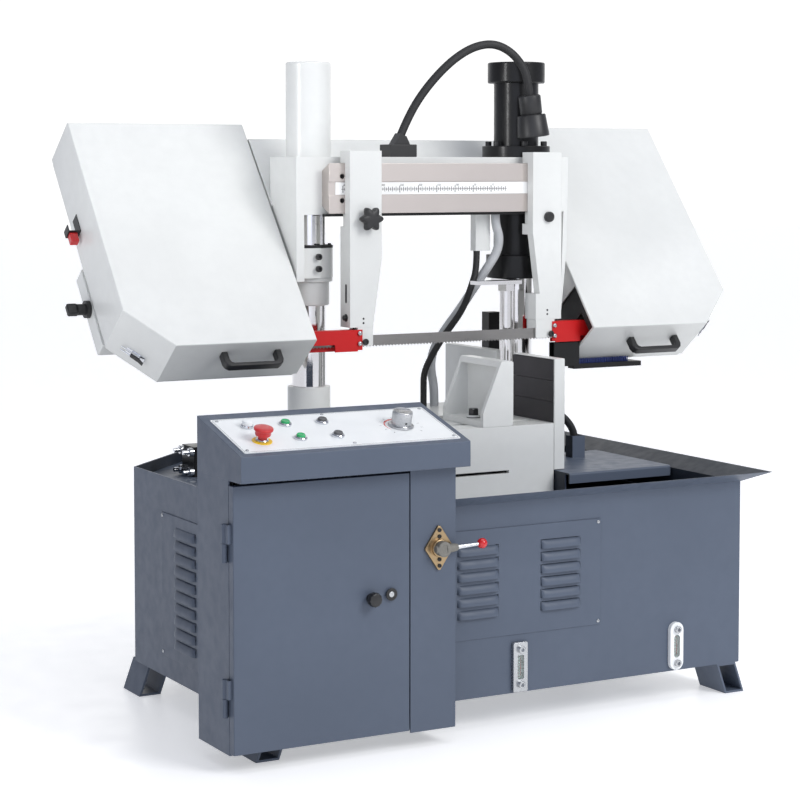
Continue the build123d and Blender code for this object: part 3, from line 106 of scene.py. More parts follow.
# Studio: the backdrop's direction, and how bright it, the room, the soft box and the lit floor are
BACKDROP_DIRECTION = (0.485, 0.874, 0.0)
BACKDROP_STRENGTH = 1.1
ROOM_STRENGTH = 0.4
SOFTBOX_STRENGTH = 1.5
FLOOR_GLOW = 0.4

# Lights: name, place and target in metres, size, power in watts and spread in degrees
LIGHTS = (
    ("key", (1.8, -4.4, 3.6), (0, 0, 0.7), (2.4, 2.4), 168, 180),
    ("top", (0.2, -0.9, 4.6), (0, 0, 0.8), (4.0, 3.0), 50, 180),
    ("left_fill", (-2.9, -0.5, 1.5), (-0.3, 0.2, 1.25), (0.6, 0.6), 0.9, 30),
)

# Camera: its place in metres, its pitch below level, its turn from +Y towards +X, and its lens
CAMERA_PLACE = (-2.4256, -4.2189, 1.2)
CAMERA_PITCH = math.radians(3.44)
CAMERA_TURN = math.radians(29.03)
CAMERA_LENS = 96.5
CAMERA_SHIFT = (-0.00075, -0.131)


# Placing frames: each turns local (x, y, z) in millimetres into the row frame

def frame_of(origin, x_dir, y_dir, z_dir):
    """A matrix from its origin and its three directions."""
    matrix = Matrix.Identity(4)
    for column, vector in enumerate((x_dir, y_dir, z_dir, origin)):
        for row in range(3):
            matrix[row][column] = vector[row]
    return matrix


WORLD = Matrix.Identity(4)
HOUSING = frame_of(
    (0, 90, 810),
    (1, 0, 0),
    (0, math.cos(TILT), math.sin(TILT)),
    (0, -math.sin(TILT), math.cos(TILT)),
)
CONSOLE = frame_of(
    (0, -460, 637),
    (1, 0, 0),
    (0, math.cos(CONSOLE_SLOPE), math.sin(CONSOLE_SLOPE)),
    (0, -math.sin(CONSOLE_SLOPE), math.cos(CONSOLE_SLOPE)),
)


def facing_front(x, y, z):
    return frame_of((x, y, z), (1, 0, 0), (0, 0, 1), (0, -1, 0))


def facing_left(x, y, z):
    return frame_of((x, y, z), (0, -1, 0), (0, 0, 1), (-1, 0, 0))


def facing_right(x, y, z):
    return frame_of((x, y, z), (0, 1, 0), (0, 0, 1), (1, 0, 0))


def facing_up(x, y, z):
    return Matrix.Translation((x, y, z))


def on_panel(x, t, height=0):
    return CONSOLE @ Matrix.Translation((x, t, height))


def polar(radius, degrees, middle_x=0.0, middle_y=0.0):
    """The (x, y) at a radius and an angle round a middle."""
    angle = math.radians(degrees)
    return middle_x + radius * math.cos(angle), middle_y + radius * math.sin(angle)


BLADE_S = Vector((0, BLADE_Y - 90, BLADE_Z - 810)).dot(Vector((0, math.cos(TILT), math.sin(TILT))))
BLADE_N = Vector((0, BLADE_Y - 90, BLADE_Z - 810)).dot(Vector((0, -math.sin(TILT), math.cos(TILT))))
BLADE_R = WHEEL_R + 0.3 + BLADE_THICKNESS / 2
WHEEL_S = BLADE_S + BLADE_R


def mirrored(x):
    """The x that matches x on the other side of the bow's middle."""
    return 2 * BOW_MIDDLE_X - x


# Mesh builders

def ring(bm, place, points):
    """A loop of new vertices at local points."""
    return [bm.verts.new((place @ Vector(point)) * MM) for point in points]


def bridge(bm, lower, upper):
    """Faces between two loops, either of which may be a single point."""
    count = max(len(lower), len(upper))
    for index in range(count):
        after = (index + 1) % count
        if len(lower) == 1:
            bm.faces.new((lower[0], upper[after], upper[index]))
        elif len(upper) == 1:
            bm.faces.new((lower[index], lower[after], upper[0]))
        else:
            bm.faces.new((lower[index], lower[after], upper[after], upper[index]))


def add_prism(bm, place, outline, z0, z1):
    """A flat outline of (x, y) pushed from z0 to z1."""
    lower = ring(bm, place, [(x, y, z0) for x, y in outline])
    upper = ring(bm, place, [(x, y, z1) for x, y in outline])
    bm.faces.new(list(reversed(lower)))
    bm.faces.new(upper)
    bridge(bm, lower, upper)


def add_box(bm, place, x0, x1, y0, y1, z0, z1):
    add_prism(bm, place, [(x0, y0), (x1, y0), (x1, y1), (x0, y1)], z0, z1)


def rounded_outline(x0, x1, y0, y1, radius, steps=8):
    """A rectangle's outline with round corners."""
    corners = [(x1 - radius, y1 - radius, 0), (x0 + radius, y1 - radius, 90)]
    corners += [(x0 + radius, y0 + radius, 180), (x1 - radius, y0 + radius, 270)]
    outline = []
    for x, y, start in corners:
        for step in range(steps + 1):
            outline.append(polar(radius, start + 90 * step / steps, x, y))
    return outline


def round_section(angle):
    return 1.0


def hexagon(angle):
    """The radius of a hexagon of corner radius 1."""
    side = math.pi / 3
    return math.cos(side / 2) / math.cos(angle % side - side / 2)


def fluted(count, depth):
    """A round section with count grooves, each depth of the radius."""
    def section(angle):
        return 1.0 - depth * (0.5 - 0.5 * math.cos(count * angle)) ** 2
    return section


def lobed(count, depth):
    """A section of count soft lobes."""
    def section(angle):
        return 1.0 - depth * (0.5 - 0.5 * math.cos(count * angle))
    return section


def turned_loop(bm, place, steps, radius, height, section=round_section):
    """One loop of a turned solid, or a single point on its axis."""
    if radius == 0:
        return ring(bm, place, [(0, 0, height)])
    points = []
    for step in range(steps):
        angle = 2 * math.pi * step / steps
        reach = radius * section(angle)
        points.append((reach * math.cos(angle), reach * math.sin(angle), height))
    return ring(bm, place, points)


def add_lathe(bm, place, profile, steps=48):
    """A closed turned solid from (radius, height) or (radius, height, section) rows."""
    loops = [turned_loop(bm, place, steps, *row) for row in profile]
    for lower, upper in zip(loops, loops[1:]):
        bridge(bm, lower, upper)
    if len(loops[0]) > 1:
        bm.faces.new(list(reversed(loops[0])))
    if len(loops[-1]) > 1:
        bm.faces.new(loops[-1])


def add_ring_lathe(bm, place, profile, steps=48):
    """A turned solid with a hole through it: the profile closes on itself."""
    loops = [turned_loop(bm, place, steps, *row) for row in profile]
    for lower, upper in zip(loops, loops[1:] + loops[:1]):
        bridge(bm, lower, upper)


def socket_screw(bm, place, radius, height):
    """A cap screw's head with its hexagon socket."""
    edge = radius * 0.12
    socket = radius * 0.58
    add_lathe(bm, place, [
        (0, -0.4),
        (radius, -0.4),
        (radius, height - edge),
        (radius - edge, height),
        (socket, height, hexagon),
        (socket, height * 0.35, hexagon),
        (0, height * 0.3),
    ])


def dome_screw(bm, place, radius, height):
    """A low domed head with a small socket."""
    socket = radius * 0.36
    add_lathe(bm, place, [
        (0, -0.3),
        (radius, -0.3),
        (radius, height * 0.25),
        (radius * 0.86, height * 0.72),
        (radius * 0.58, height * 0.97),
        (socket, height, hexagon),
        (socket, height * 0.45, hexagon),
        (0, height * 0.4),
    ])


def hex_bolt(bm, place, radius, height):
    """A hexagon head on its washer."""
    add_lathe(bm, place, [
        (0, -0.4),
        (radius * 1.28, -0.4),
        (radius * 1.28, 1.2),
        (radius * 1.2, 1.8),
        (radius, 1.8, hexagon),
        (radius, height - radius * 0.1, hexagon),
        (radius * 0.84, height),
        (0, height),
    ])


# Materials: every one has colour variation, roughness from nodes and a bump

def srgb(red, green, blue):
    """A colour given as 0-255 screen values, in linear light."""
    linear = []
    for value in (red, green, blue):
        part = value / 255
        linear.append(part / 12.92 if part <= 0.04045 else ((part + 0.055) / 1.055) ** 2.4)
    return (*linear, 1.0)


def scaled(colour, factor):
    return tuple(min(1.0, channel * factor) for channel in colour[:3]) + (1.0,)


def new_material(name):
    """An empty material with a Principled shader on its output."""
    material = bpy.data.materials.new(name)
    material.use_nodes = True
    tree = material.node_tree
    tree.nodes.clear()
    output = tree.nodes.new("ShaderNodeOutputMaterial")
    shader = tree.nodes.new("ShaderNodeBsdfPrincipled")
    tree.links.new(shader.outputs["BSDF"], output.inputs["Surface"])
    return material, tree, shader


def fill(tree, node, values):
    """Fills a node's inputs, each with a link from an output or with a plain value."""
    for key, value in values.items():
        if isinstance(value, bpy.types.NodeSocket):
            tree.links.new(value, node.inputs[key])
        else:
            node.inputs[key].default_value = value


def noise(tree, scale, detail=4.0, stretch=(1.0, 1.0, 1.0)):
    """Noise in object space, with scale in features per metre."""
    coordinates = tree.nodes.new("ShaderNodeTexCoord")
    mapping = tree.nodes.new("ShaderNodeMapping")
    texture = tree.nodes.new("ShaderNodeTexNoise")
    fill(tree, mapping, {"Vector": coordinates.outputs["Object"], "Scale": stretch})
    fill(tree, texture, {"Vector": mapping.outputs["Vector"], "Scale": scale, "Detail": detail})
    return texture.outputs["Fac"]


def remap(tree, value, low, high, to_low=0.0, to_high=1.0):
    node = tree.nodes.new("ShaderNodeMapRange")
    fill(tree, node, {"Value": value, "From Min": low, "From Max": high, "To Min": to_low, "To Max": to_high})
    return node.outputs["Result"]


def mix_colour(tree, factor, low, high):
    node = tree.nodes.new("ShaderNodeMix")
    node.data_type = "RGBA"
    fill(tree, node, {"Factor": factor, "A": low, "B": high})
    return node.outputs["Result"]


def combine(tree, operation, first, second):
    node = tree.nodes.new("ShaderNodeMath")
    node.operation = operation
    fill(tree, node, {0: first, 1: second})
    return node.outputs["Value"]


def product(tree, first, second):
    return combine(tree, "MULTIPLY", first, second)


def dot_product(tree, first, second):
    """The dot product of an output with an output or a plain vector."""
    node = tree.nodes.new("ShaderNodeVectorMath")
    node.operation = "DOT_PRODUCT"
    fill(tree, node, {0: first, 1: second})
    return node.outputs["Value"]


def soft_normal(tree, radius):
    """The surface normal rounded over sharp edges."""
    node = tree.nodes.new("ShaderNodeBevel")
    node.samples = 4
    node.inputs["Radius"].default_value = radius * MM
    return node.outputs["Normal"]


def edge_mask(tree, normal):
    """1 on an edge and 0 away from edges."""
    geometry = tree.nodes.new("ShaderNodeNewGeometry")
    likeness = dot_product(tree, normal, geometry.outputs["Normal"])
    return remap(tree, likeness, 0.985, 0.8)


def add_bump(tree, shader, height, strength, distance, normal=None):
    node = tree.nodes.new("ShaderNodeBump")
    fill(tree, node, {"Strength": strength, "Distance": distance * MM, "Height": height})
    if normal is not None:
        fill(tree, node, {"Normal": normal})
    fill(tree, shader, {"Normal": node.outputs["Normal"]})


def inner_wall_mask(tree):
    """1 on walls and sloping rims that look in towards the middle of the base, as the tray's do; the painted
    shade goes there.
    """
    coordinates = tree.nodes.new("ShaderNodeTexCoord")
    level = tree.nodes.new("ShaderNodeVectorMath")
    level.operation = "MULTIPLY"
    level.inputs[1].default_value = (1, 1, 0)
    tree.links.new(coordinates.outputs["Object"], level.inputs[0])
    outward = dot_product(tree, level.outputs["Vector"], coordinates.outputs["Normal"])
    parts = tree.nodes.new("ShaderNodeSeparateXYZ")
    tree.links.new(coordinates.outputs["Normal"], parts.inputs[0])
    tilt = combine(tree, "ADD", product(tree, parts.outputs["Z"], 2.0), 1.0)
    inward = product(tree, outward, tilt)
    return remap(tree, inward, -0.25, -0.29)


def painted(name, colour, roughness=0.4, peel=0.12, coat=0.15, edge_wear_and_highlight=0.35, specular=0.4, painted_wall_shade=0.0):
    """Sprayed paint: faint mottling, orange peel, edges lighter from rubbing and a painted highlight, and
    painted shade on inner walls.
    """
    material, tree, shader = new_material(name)
    normal = soft_normal(tree, 1.4)
    broad = remap(tree, noise(tree, 2.6, 3.0), 0.3, 0.7)
    fine = remap(tree, noise(tree, 38.0, 5.0), 0.35, 0.7)
    base = mix_colour(tree, broad, scaled(colour, 0.93), scaled(colour, 1.06))
    base = mix_colour(tree, product(tree, fine, 0.25), base, scaled(colour, 0.9))
    # Edges are lightened: partly rubbed paint, partly a painted highlight along each edge.
    worn_and_highlit_edges = product(tree, edge_mask(tree, normal), noise(tree, 60.0, 6.0))
    base = mix_colour(tree, product(tree, worn_and_highlit_edges, edge_wear_and_highlight), base, scaled(colour, 1.5))
    # Painted shade: the tray's inner walls are darkened towards near black, where shade falls inside it.
    if painted_wall_shade:
        film = product(tree, inner_wall_mask(tree), painted_wall_shade)
        base = mix_colour(tree, film, base, scaled(colour, 0.12))
    rough = remap(tree, fine, 0.0, 1.0, roughness - 0.04, roughness + 0.08)
    fill(tree, shader, {"Base Color": base, "Roughness": rough, "Specular IOR Level": specular})
    fill(tree, shader, {"Coat Weight": coat, "Coat Roughness": 0.12})
    add_bump(tree, shader, noise(tree, 700.0, 2.0), peel, 0.4, normal)
    return material


def machined(name, colour, roughness=0.3, stretch=(1.0, 1.0, 60.0), scratches=0.4, edge=1.3, stain=0.75,
             contrast=1.0):
    """Ground or milled steel: fine lines one way, faint stains and bright edges."""
    material, tree, shader = new_material(name)
    normal = soft_normal(tree, 0.8)
    lines = noise(tree, 30.0, 6.0, stretch)
    stains = remap(tree, noise(tree, 9.0, 5.0), 0.4, 0.75)
    base = mix_colour(tree, lines, scaled(colour, 1 - 0.2 * contrast), scaled(colour, 1 + 0.12 * contrast))
    base = mix_colour(tree, product(tree, stains, 0.4), base, scaled(colour, stain))
    rubbed = product(tree, edge_mask(tree, normal), 0.5)
    base = mix_colour(tree, rubbed, base, scaled(colour, edge))
    rough = remap(tree, lines, 0.3, 0.7, roughness - 0.08 * contrast, roughness + 0.12 * contrast)
    fill(tree, shader, {"Base Color": base, "Roughness": rough, "Metallic": 1.0})
    add_bump(tree, shader, lines, scratches, 0.05, normal)
    return material


def chromed(name, colour, roughness=0.06):
    """Hard chrome: nearly a mirror, with faint turning marks and smears."""
    material, tree, shader = new_material(name)
    marks = noise(tree, 18.0, 4.0, (1.0, 1.0, 40.0))
    smear = remap(tree, noise(tree, 7.0, 4.0), 0.4, 0.7)
    base = mix_colour(tree, smear, colour, scaled(colour, 0.88))
    rough = remap(tree, marks, 0.3, 0.7, roughness, roughness + 0.07)
    fill(tree, shader, {"Base Color": base, "Roughness": rough, "Metallic": 1.0})
    add_bump(tree, shader, marks, 0.05, 0.02)
    return material


def moulded(name, colour, roughness=0.4, grain=0.2, grain_scale=900.0, specular=0.5, coat=0.0):
    """Moulded plastic or rubber: fine grain, faint tone changes, paler rubbed edges."""
    material, tree, shader = new_material(name)
    normal = soft_normal(tree, 0.5)
    tone = remap(tree, noise(tree, 22.0, 4.0), 0.35, 0.7)
    base = mix_colour(tree, tone, colour, scaled(colour, 0.84))
    rubbed = product(tree, edge_mask(tree, normal), 0.35)
    base = mix_colour(tree, rubbed, base, scaled(colour, 1.6))
    rough = remap(tree, tone, 0.0, 1.0, roughness, roughness + 0.1)
    fill(tree, shader, {"Base Color": base, "Roughness": rough})
    fill(tree, shader, {"Specular IOR Level": specular, "Coat Weight": coat})
    add_bump(tree, shader, noise(tree, grain_scale, 2.0), grain, 0.15, normal)
    return material


def cast(name, colour, roughness=0.6):
    """Bare or primed casting with a sandy skin."""
    material, tree, shader = new_material(name)
    normal = soft_normal(tree, 1.5)
    sand = noise(tree, 260.0, 6.0)
    tone = noise(tree, 12.0, 5.0)
    base = mix_colour(tree, tone, scaled(colour, 0.75), scaled(colour, 1.2))
    rough = remap(tree, sand, 0.3, 0.7, roughness - 0.1, roughness + 0.15)
    fill(tree, shader, {"Base Color": base, "Roughness": rough, "Metallic": 0.35})
    add_bump(tree, shader, sand, 0.5, 0.6, normal)
    return material


def printed(name, colour):
    """Printed plate: a smooth face with a faint eggshell texture."""
    material, tree, shader = new_material(name)
    tone = remap(tree, noise(tree, 14.0, 4.0), 0.3, 0.7)
    base = mix_colour(tree, tone, colour, scaled(colour, 0.95))
    fill(tree, shader, {"Base Color": base, "Roughness": remap(tree, tone, 0.0, 1.0, 0.32, 0.42)})
    add_bump(tree, shader, noise(tree, 1200.0, 2.0), 0.08, 0.1)
    return material


def clear_plastic(name):
    """The sight windows."""
    material, tree, shader = new_material(name)
    tone = noise(tree, 120.0, 3.0)
    base = mix_colour(tree, tone, srgb(205, 215, 212), srgb(225, 232, 228))
    fill(tree, shader, {"Base Color": base, "Roughness": remap(tree, tone, 0.3, 0.7, 0.08, 0.16)})
    fill(tree, shader, {"Transmission Weight": 0.92, "IOR": 1.45})
    add_bump(tree, shader, tone, 0.05, 0.1)
    return material


FINISHES = (
    # The blue-grey paint carries painted shade on the tray's inner walls.
    painted("paint_blue_grey", srgb(84, 93, 108), roughness=0.42, coat=0.0, specular=0.3, painted_wall_shade=0.85),
    painted("paint_white", srgb(219, 220, 217), roughness=0.36, edge_wear_and_highlight=0.15, coat=0.2),
    painted("paint_red", srgb(196, 22, 24), roughness=0.4, coat=0.0, edge_wear_and_highlight=0.2, specular=0.3),
    painted("paint_black", srgb(22, 22, 23), roughness=0.34, peel=0.04, coat=0.1, edge_wear_and_highlight=0.25, specular=0.25),
    printed("panel_white", srgb(240, 242, 242)),
    chromed("chrome_rod", srgb(240, 238, 237)),
    machined("steel_ground", srgb(206, 198, 193), 0.36, (2.0, 90.0, 90.0), scratches=0.12, edge=1.1,
             stain=0.9, contrast=0.22),
    machined("steel_dark", srgb(74, 72, 74), 0.42, (1.0, 50.0, 50.0), stain=1.5),
    machined("blade_steel", srgb(142, 140, 138), 0.34, (1.0, 50.0, 50.0), scratches=0.2),
    cast("cast_grey", srgb(120, 118, 112)),
    machined("zinc_steel", srgb(190, 192, 194), 0.26, (8.0, 8.0, 8.0), scratches=0.1),
    printed("scale_face", srgb(238, 238, 236)),
    moulded("plastic_black", srgb(34, 34, 35), 0.38),
    moulded("plastic_red", srgb(205, 20, 24), 0.26, 0.05, coat=0.4),
    moulded("plastic_green", srgb(22, 172, 98), 0.26, 0.05, coat=0.4),
    moulded("plastic_grey", srgb(92, 92, 94), 0.34, 0.08),
    machined("knob_aluminium", srgb(196, 197, 199), 0.3, (1.0, 1.0, 30.0), 0.15),
    chromed("bezel_chrome", srgb(214, 216, 220), 0.12),
    moulded("rubber_black", srgb(30, 30, 31), 0.55, 0.3, 600.0),
    moulded("conduit_grey", srgb(186, 188, 190), 0.45, 0.2),
    painted("motor_blue", srgb(52, 70, 96), roughness=0.45),
)
MATERIALS = {finish.name: finish for finish in FINISHES}
LENS = clear_plastic("clear_lens")
YELLOW = moulded("plastic_yellow", srgb(250, 206, 20), 0.34, 0.06)
BRISTLE = moulded("bristle_blue", srgb(30, 48, 110), 0.4, 0.1)
PASSIVATED = machined("yellow_zinc_plate", srgb(176, 152, 118), 0.34, (6.0, 1.0, 6.0), 0.12)


# Making pieces

def give(obj, body, slot, look=None):
    """Sets an object's material, named by slot unless a look is given, and the body it rides on."""
    obj.data.materials.clear()
    obj.data.materials.append(look if look is not None else MATERIALS[slot])
    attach(obj, body)


def new_object(name, data):
    """An object in the scene with this mesh, curve, text, light or camera."""
    obj = bpy.data.objects.new(name, data)
    bpy.context.scene.collection.objects.link(obj)
    return obj


def closed_mesh(name, bm):
    """A mesh of what bm holds, with every face turned outwards."""
    bmesh.ops.recalc_face_normals(bm, faces=bm.faces)
    mesh = bpy.data.meshes.new(name)
    bm.to_mesh(mesh)
    bm.free()
    return mesh


def piece(name, bm, slot, body, look=None, bevel=0.0, sharp=35.0):
    """A finished mesh piece from what bm holds."""
    mesh = closed_mesh(name, bm)
    mesh.shade_smooth()
    mesh.set_sharp_from_angle(angle=math.radians(sharp))
    obj = new_object(name, mesh)
    if bevel:
        modifier = obj.modifiers.new("soft_edges", "BEVEL")
        modifier.width = bevel * MM
        modifier.segments = 2
        modifier.limit_method = "ANGLE"
        modifier.angle_limit = math.radians(40)
    give(obj, body, slot, look)
    return obj


def turned(name, place, profile, slot, body, steps=48):
    """A piece that is one turned solid."""
    bm = bmesh.new()
    add_lathe(bm, place, profile, steps)
    return piece(name, bm, slot, body)


def turned_ring(name, place, profile, slot, body, look=None, steps=48):
    """A piece that is one turned solid with a hole through it."""
    bm = bmesh.new()
    add_ring_lathe(bm, place, profile, steps)
    return piece(name, bm, slot, body, look)


def boxes(name, place, rows, slot, body, bevel=0.0):
    """A piece of plain blocks, each (x0, x1, y0, y1, z0, z1)."""
    bm = bmesh.new()
    for row in rows:
        add_box(bm, place, *row)
    return piece(name, bm, slot, body, bevel=bevel)


def tube(name, points, radius, slot, body):
    """A smooth round hose or bar along given points."""
    curve = bpy.data.curves.new(name, "CURVE")
    curve.dimensions = "3D"
    curve.bevel_depth = radius * MM
    curve.bevel_resolution = 8
    curve.use_fill_caps = True
    curve.resolution_u = 16
    spline = curve.splines.new("NURBS")
    spline.points.add(len(points) - 1)
    for place, point in zip(spline.points, points):
        place.co = (*(Vector(point) * MM), 1.0)
    spline.order_u = 3
    spline.use_endpoint_u = True
    obj = new_object(name, curve)
    give(obj, body, slot)
    return obj


def fasteners(name, slot, body, rows, look=None):
    """Several screws on one body as one piece; each row is (maker, place, radius, height)."""
    bm = bmesh.new()
    for maker, place, radius, height in rows:
        maker(bm, place, radius, height)
    return piece(name, bm, slot, body, look)


# Pieces: control panel

def button_bezels():
    """The chromed threaded rings round the buttons and the lamp."""
    bm = bmesh.new()
    places = [(PILOT_X, BUTTON_NEAR), (GREEN_X, BUTTON_FAR), (GREEN_X, BUTTON_NEAR)]
    places += [(GREY_X, BUTTON_FAR), (GREY_X, BUTTON_NEAR)]
    for x, t in places:
        add_ring_lathe(bm, on_panel(x, t), [
            (9.6, -10), (11, -10), (11, 2), (BEZEL_R, 2), (BEZEL_R, 5.6), (BEZEL_R - 1.2, 7.2),
            (BEZEL_R - 2.2, 8), (9.6, 8),
        ])
    lamp = on_panel(PILOT_X, BUTTON_FAR)
    add_ring_lathe(bm, lamp, [(10.5, 2), (13, 2), (13, 6.5), (12.2, 8), (10.5, 8)])
    rings = piece("button_rings", bm, "bezel_chrome", "base")
    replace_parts(rings, "button_bezels")
    dome = [(0, 3), (10.4, 3), (10.9, 9), (11.2, 13.5), (10.2, 16.5), (7.5, 17.6), (0, 18)]
    turned("pilot_lens", lamp, dome, "panel_white", "base")


def push_cap(name, node, x, t, slot):
    """A push-button's cap with a dished top."""
    cap = turned(name, on_panel(x, t), [
        (0, -14), (4, -14), (4, 3), (CAP_R, 3), (CAP_R, 10.6), (CAP_R - 0.9, 12), (CAP_R - 2.2, 11.9),
        (CAP_R - 3.4, 11.2), (0, 11),
    ], slot, node)
    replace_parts(cap, node)


def stop_mushroom():
    """The emergency stop: waisted red head over its yellow collar."""
    place = on_panel(PILOT_X, BUTTON_NEAR)
    head = turned("stop_head", place, [
        (0, -14), (4, -14), (4, 3), (CAP_R, 3), (CAP_R, 13), (15.2, 15), (16.4, 18), (16.2, 23),
        (17.2, 25.2), (19.6, 26.4), (20, 28.6), (19.4, 30.6), (17.4, 31.6), (9, 31.9), (0, 32),
    ], "plastic_red", "stop_button", 64)
    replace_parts(head, "stop_button")
    collar = [(13.6, 2), (20.5, 2), (20.5, 3.2), (20, 3.6), (13.6, 3.6)]
    turned_ring("stop_collar", place, collar, "scale_face", "base", YELLOW, 64)


def speed_dial():
    """The knurled speed knob with its skirt and set screw."""
    place = on_panel(SPEED_X, SPEED_T)
    knurl = fluted(48, 0.035)
    grip = turned("speed_grip", place, [
        (0, -10), (5, -10), (5, 2.3), (26, 2.3), (27, 2.9), (27, 4.6), (26, 5.4), (21.6, 6.2),
        (20.6, 7.4), (20.6, 8.6), (21, 9.4, knurl), (21, 32.4, knurl), (20.2, 34.4), (19, 35.6),
        (17.6, 35.9), (16.8, 35.4), (0, 35.2),
    ], "knob_aluminium", "speed_knob", 192)
    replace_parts(grip, "speed_knob")
    side = on_panel(SPEED_X, SPEED_T, 14) @ Matrix.Rotation(math.radians(90), 4, "X")
    rows = [(dome_screw, side @ Matrix.Translation((0, 0, 20.6)), 2.6, 0.6)]
    fasteners("speed_set_screw", "plastic_black", "speed_knob", rows)


def speed_marks():
    """The widening red band and the ticks round the speed knob."""
    bm = bmesh.new()
    outer = []
    inner = []
    for step in range(33):
        part = step / 32
        degrees = 205 - 130 * part
        outer.append(polar(34 + 6 * part, degrees, SPEED_X, SPEED_T))
        inner.append(polar(33, degrees, SPEED_X, SPEED_T))
    for index in range(32):
        quad = [inner[index], inner[index + 1], outer[index + 1], outer[index]]
        add_prism(bm, CONSOLE, quad, 1.9, 2.15)
    bmesh.ops.remove_doubles(bm, verts=bm.verts, dist=1e-6)
    piece("speed_band", bm, "plastic_red", "base")
    bm = bmesh.new()
    for step in range(11):
        turn = Matrix.Rotation(math.radians(225 - 27 * step), 4, "Z")
        add_box(bm, on_panel(SPEED_X, SPEED_T) @ turn, 42, 47, -0.4, 0.4, 1.9, 2.12)
    piece("speed_ticks", bm, "plastic_black", "base")


def panel_screws():
    places = [(-669, 25), (-668, 177), (-431, 26), (-430, 180), (-200, 27), (-200, 178)]
    rows = [(dome_screw, on_panel(x, t, 2), 3.6, 2.2) for x, t in places]
    fasteners("panel_screws", "zinc_steel", "base", rows)
    bm = bmesh.new()
    outline = rounded_outline(-676, -193, 18, 184, 3)
    inner = rounded_outline(-675.2, -193.8, 18.8, 183.2, 2.6)
    count = len(outline)
    for index in range(count):
        after = (index + 1) % count
        add_prism(bm, CONSOLE, [outline[index], outline[after], inner[after], inner[index]], 1.95, 2.08)
    bmesh.ops.remove_doubles(bm, verts=bm.verts, dist=1e-6)
    piece("panel_border", bm, "plastic_grey", "base")


def console_details():
    button_bezels()
    stop_mushroom()
    for colour, x in (("green", GREEN_X), ("grey", GREY_X)):
        for row, t in (("far", BUTTON_FAR), ("near", BUTTON_NEAR)):
            push_cap(f"{colour}_cap_{row}", f"{colour}_button_{row}", x, t, f"plastic_{colour}")
    speed_dial()
    speed_marks()
    panel_screws()


# Pieces: feed lever

def feed_lever_details():
    """The diamond plate with its screws, the hub, the tapered lever and its ball."""
    place = facing_front(LEVER_X, CABINET_FRONT_Y, LEVER_Z)
    bm = bmesh.new()
    outline = []
    for angle_deg, reach_x, reach_z in ((0, 27, 0), (90, 0, 40), (180, -27, 0), (270, 0, -40)):
        for step in range(-4, 5):
            degrees = angle_deg + step * (8 if angle_deg % 180 else 12)
            outline.append(polar(6, degrees, reach_x, reach_z))
    add_prism(bm, place, outline, 0, 6)
    add_lathe(bm, place, [(0, 5), (19, 5), (19, 12.4), (17.6, 14), (0, 14)])
    plate = piece("lever_flange", bm, "zinc_steel", "base", PASSIVATED, bevel=0.8)
    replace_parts(plate, "lever_plate")
    rows = [(socket_screw, place @ Matrix.Translation((0, z, 6)), 4.2, 2.4) for z in (-37, -24, 24, 37)]
    fasteners("lever_plate_screws", "plastic_black", "base", rows)
    bm = bmesh.new()
    add_lathe(bm, place, [
        (0, -12), (7, -12), (7, 14.3), (15, 14.3), (16, 15.3), (16, 28), (14.8, 29.6), (9.5, 30),
        (9, 28.6, hexagon), (0, 28.6),
    ])
    boss = facing_right(LEVER_X, CABINET_FRONT_Y - 22, LEVER_Z) @ Matrix.Rotation(math.radians(-2.7), 4, "X")
    add_lathe(bm, boss, [(0, 6), (9, 6), (9, 20), (8, 30), (6.4, 34), (0, 34)])
    lug = facing_left(LEVER_X, CABINET_FRONT_Y - 22, LEVER_Z)
    add_lathe(bm, lug, [(0, 8), (8, 8), (8, 17), (6.6, 19), (0, 19)])
    hub = piece("lever_hub", bm, "cast_grey", "feed_lever", bevel=0.5)
    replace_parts(hub, "feed_lever")
    arm = [(0, 30), (5.2, 30), (4.4, 60), (3.8, LEVER_REACH - 8), (0, LEVER_REACH - 8)]
    turned("lever_arm", boss, arm, "bezel_chrome", "feed_lever")
    profile = [(0, LEVER_REACH - 11.6)]
    for step in range(1, 16):
        angle = math.pi * step / 16
        profile.append((11 * math.sin(angle), LEVER_REACH - 11 * math.cos(angle)))
    profile.append((0, LEVER_REACH + 11))
    turned("lever_ball", boss, profile, "plastic_red", "feed_lever")


# Pieces: base

def add_louvre(bm, place, width, height, depth):
    """One pressed louvre: a rounded hood, steep at its open lower edge."""
    columns = 24
    rows = 8
    sheet = 1.2
    for shell, drop in ((0, 0.0), (1, sheet)):
        grid = []
        for row in range(rows + 1):
            v = row / rows
            line = []
            for column in range(columns + 1):
                u = 2 * column / columns - 1
                ends = (1 - abs(u) ** 7) ** 0.5 if abs(u) < 1 else 0
                rise = math.sin(math.pi / 2 * min(1.0, v * 1.15)) ** 0.8
                reach = (depth - drop) * rise * ends
                point = (u * width / 2, -v * height, max(reach, 0.0) + 0.05)
                line.append(bm.verts.new((place @ Vector(point)) * MM))
            grid.append(line)
        for row in range(rows):
            for column in range(columns):
                corners = [grid[row][column], grid[row][column + 1]]
                corners += [grid[row + 1][column + 1], grid[row + 1][column]]
                bm.faces.new(corners if shell == 0 else list(reversed(corners)))
        if shell == 0:
            lip = grid[rows]
        else:
            for column in range(columns):
                bm.faces.new((lip[column], lip[column + 1], grid[rows][column + 1], grid[rows][column]))


# A black slot at a louvre's open lower edge: painted shade for the dark inside seen through the opening.
def louvre_shade_slot(bm, place, width, height):
    add_box(bm, place, -width / 2 + 3, width / 2 - 3, -height + 0.4, -height + 5, 0.0, 0.4)


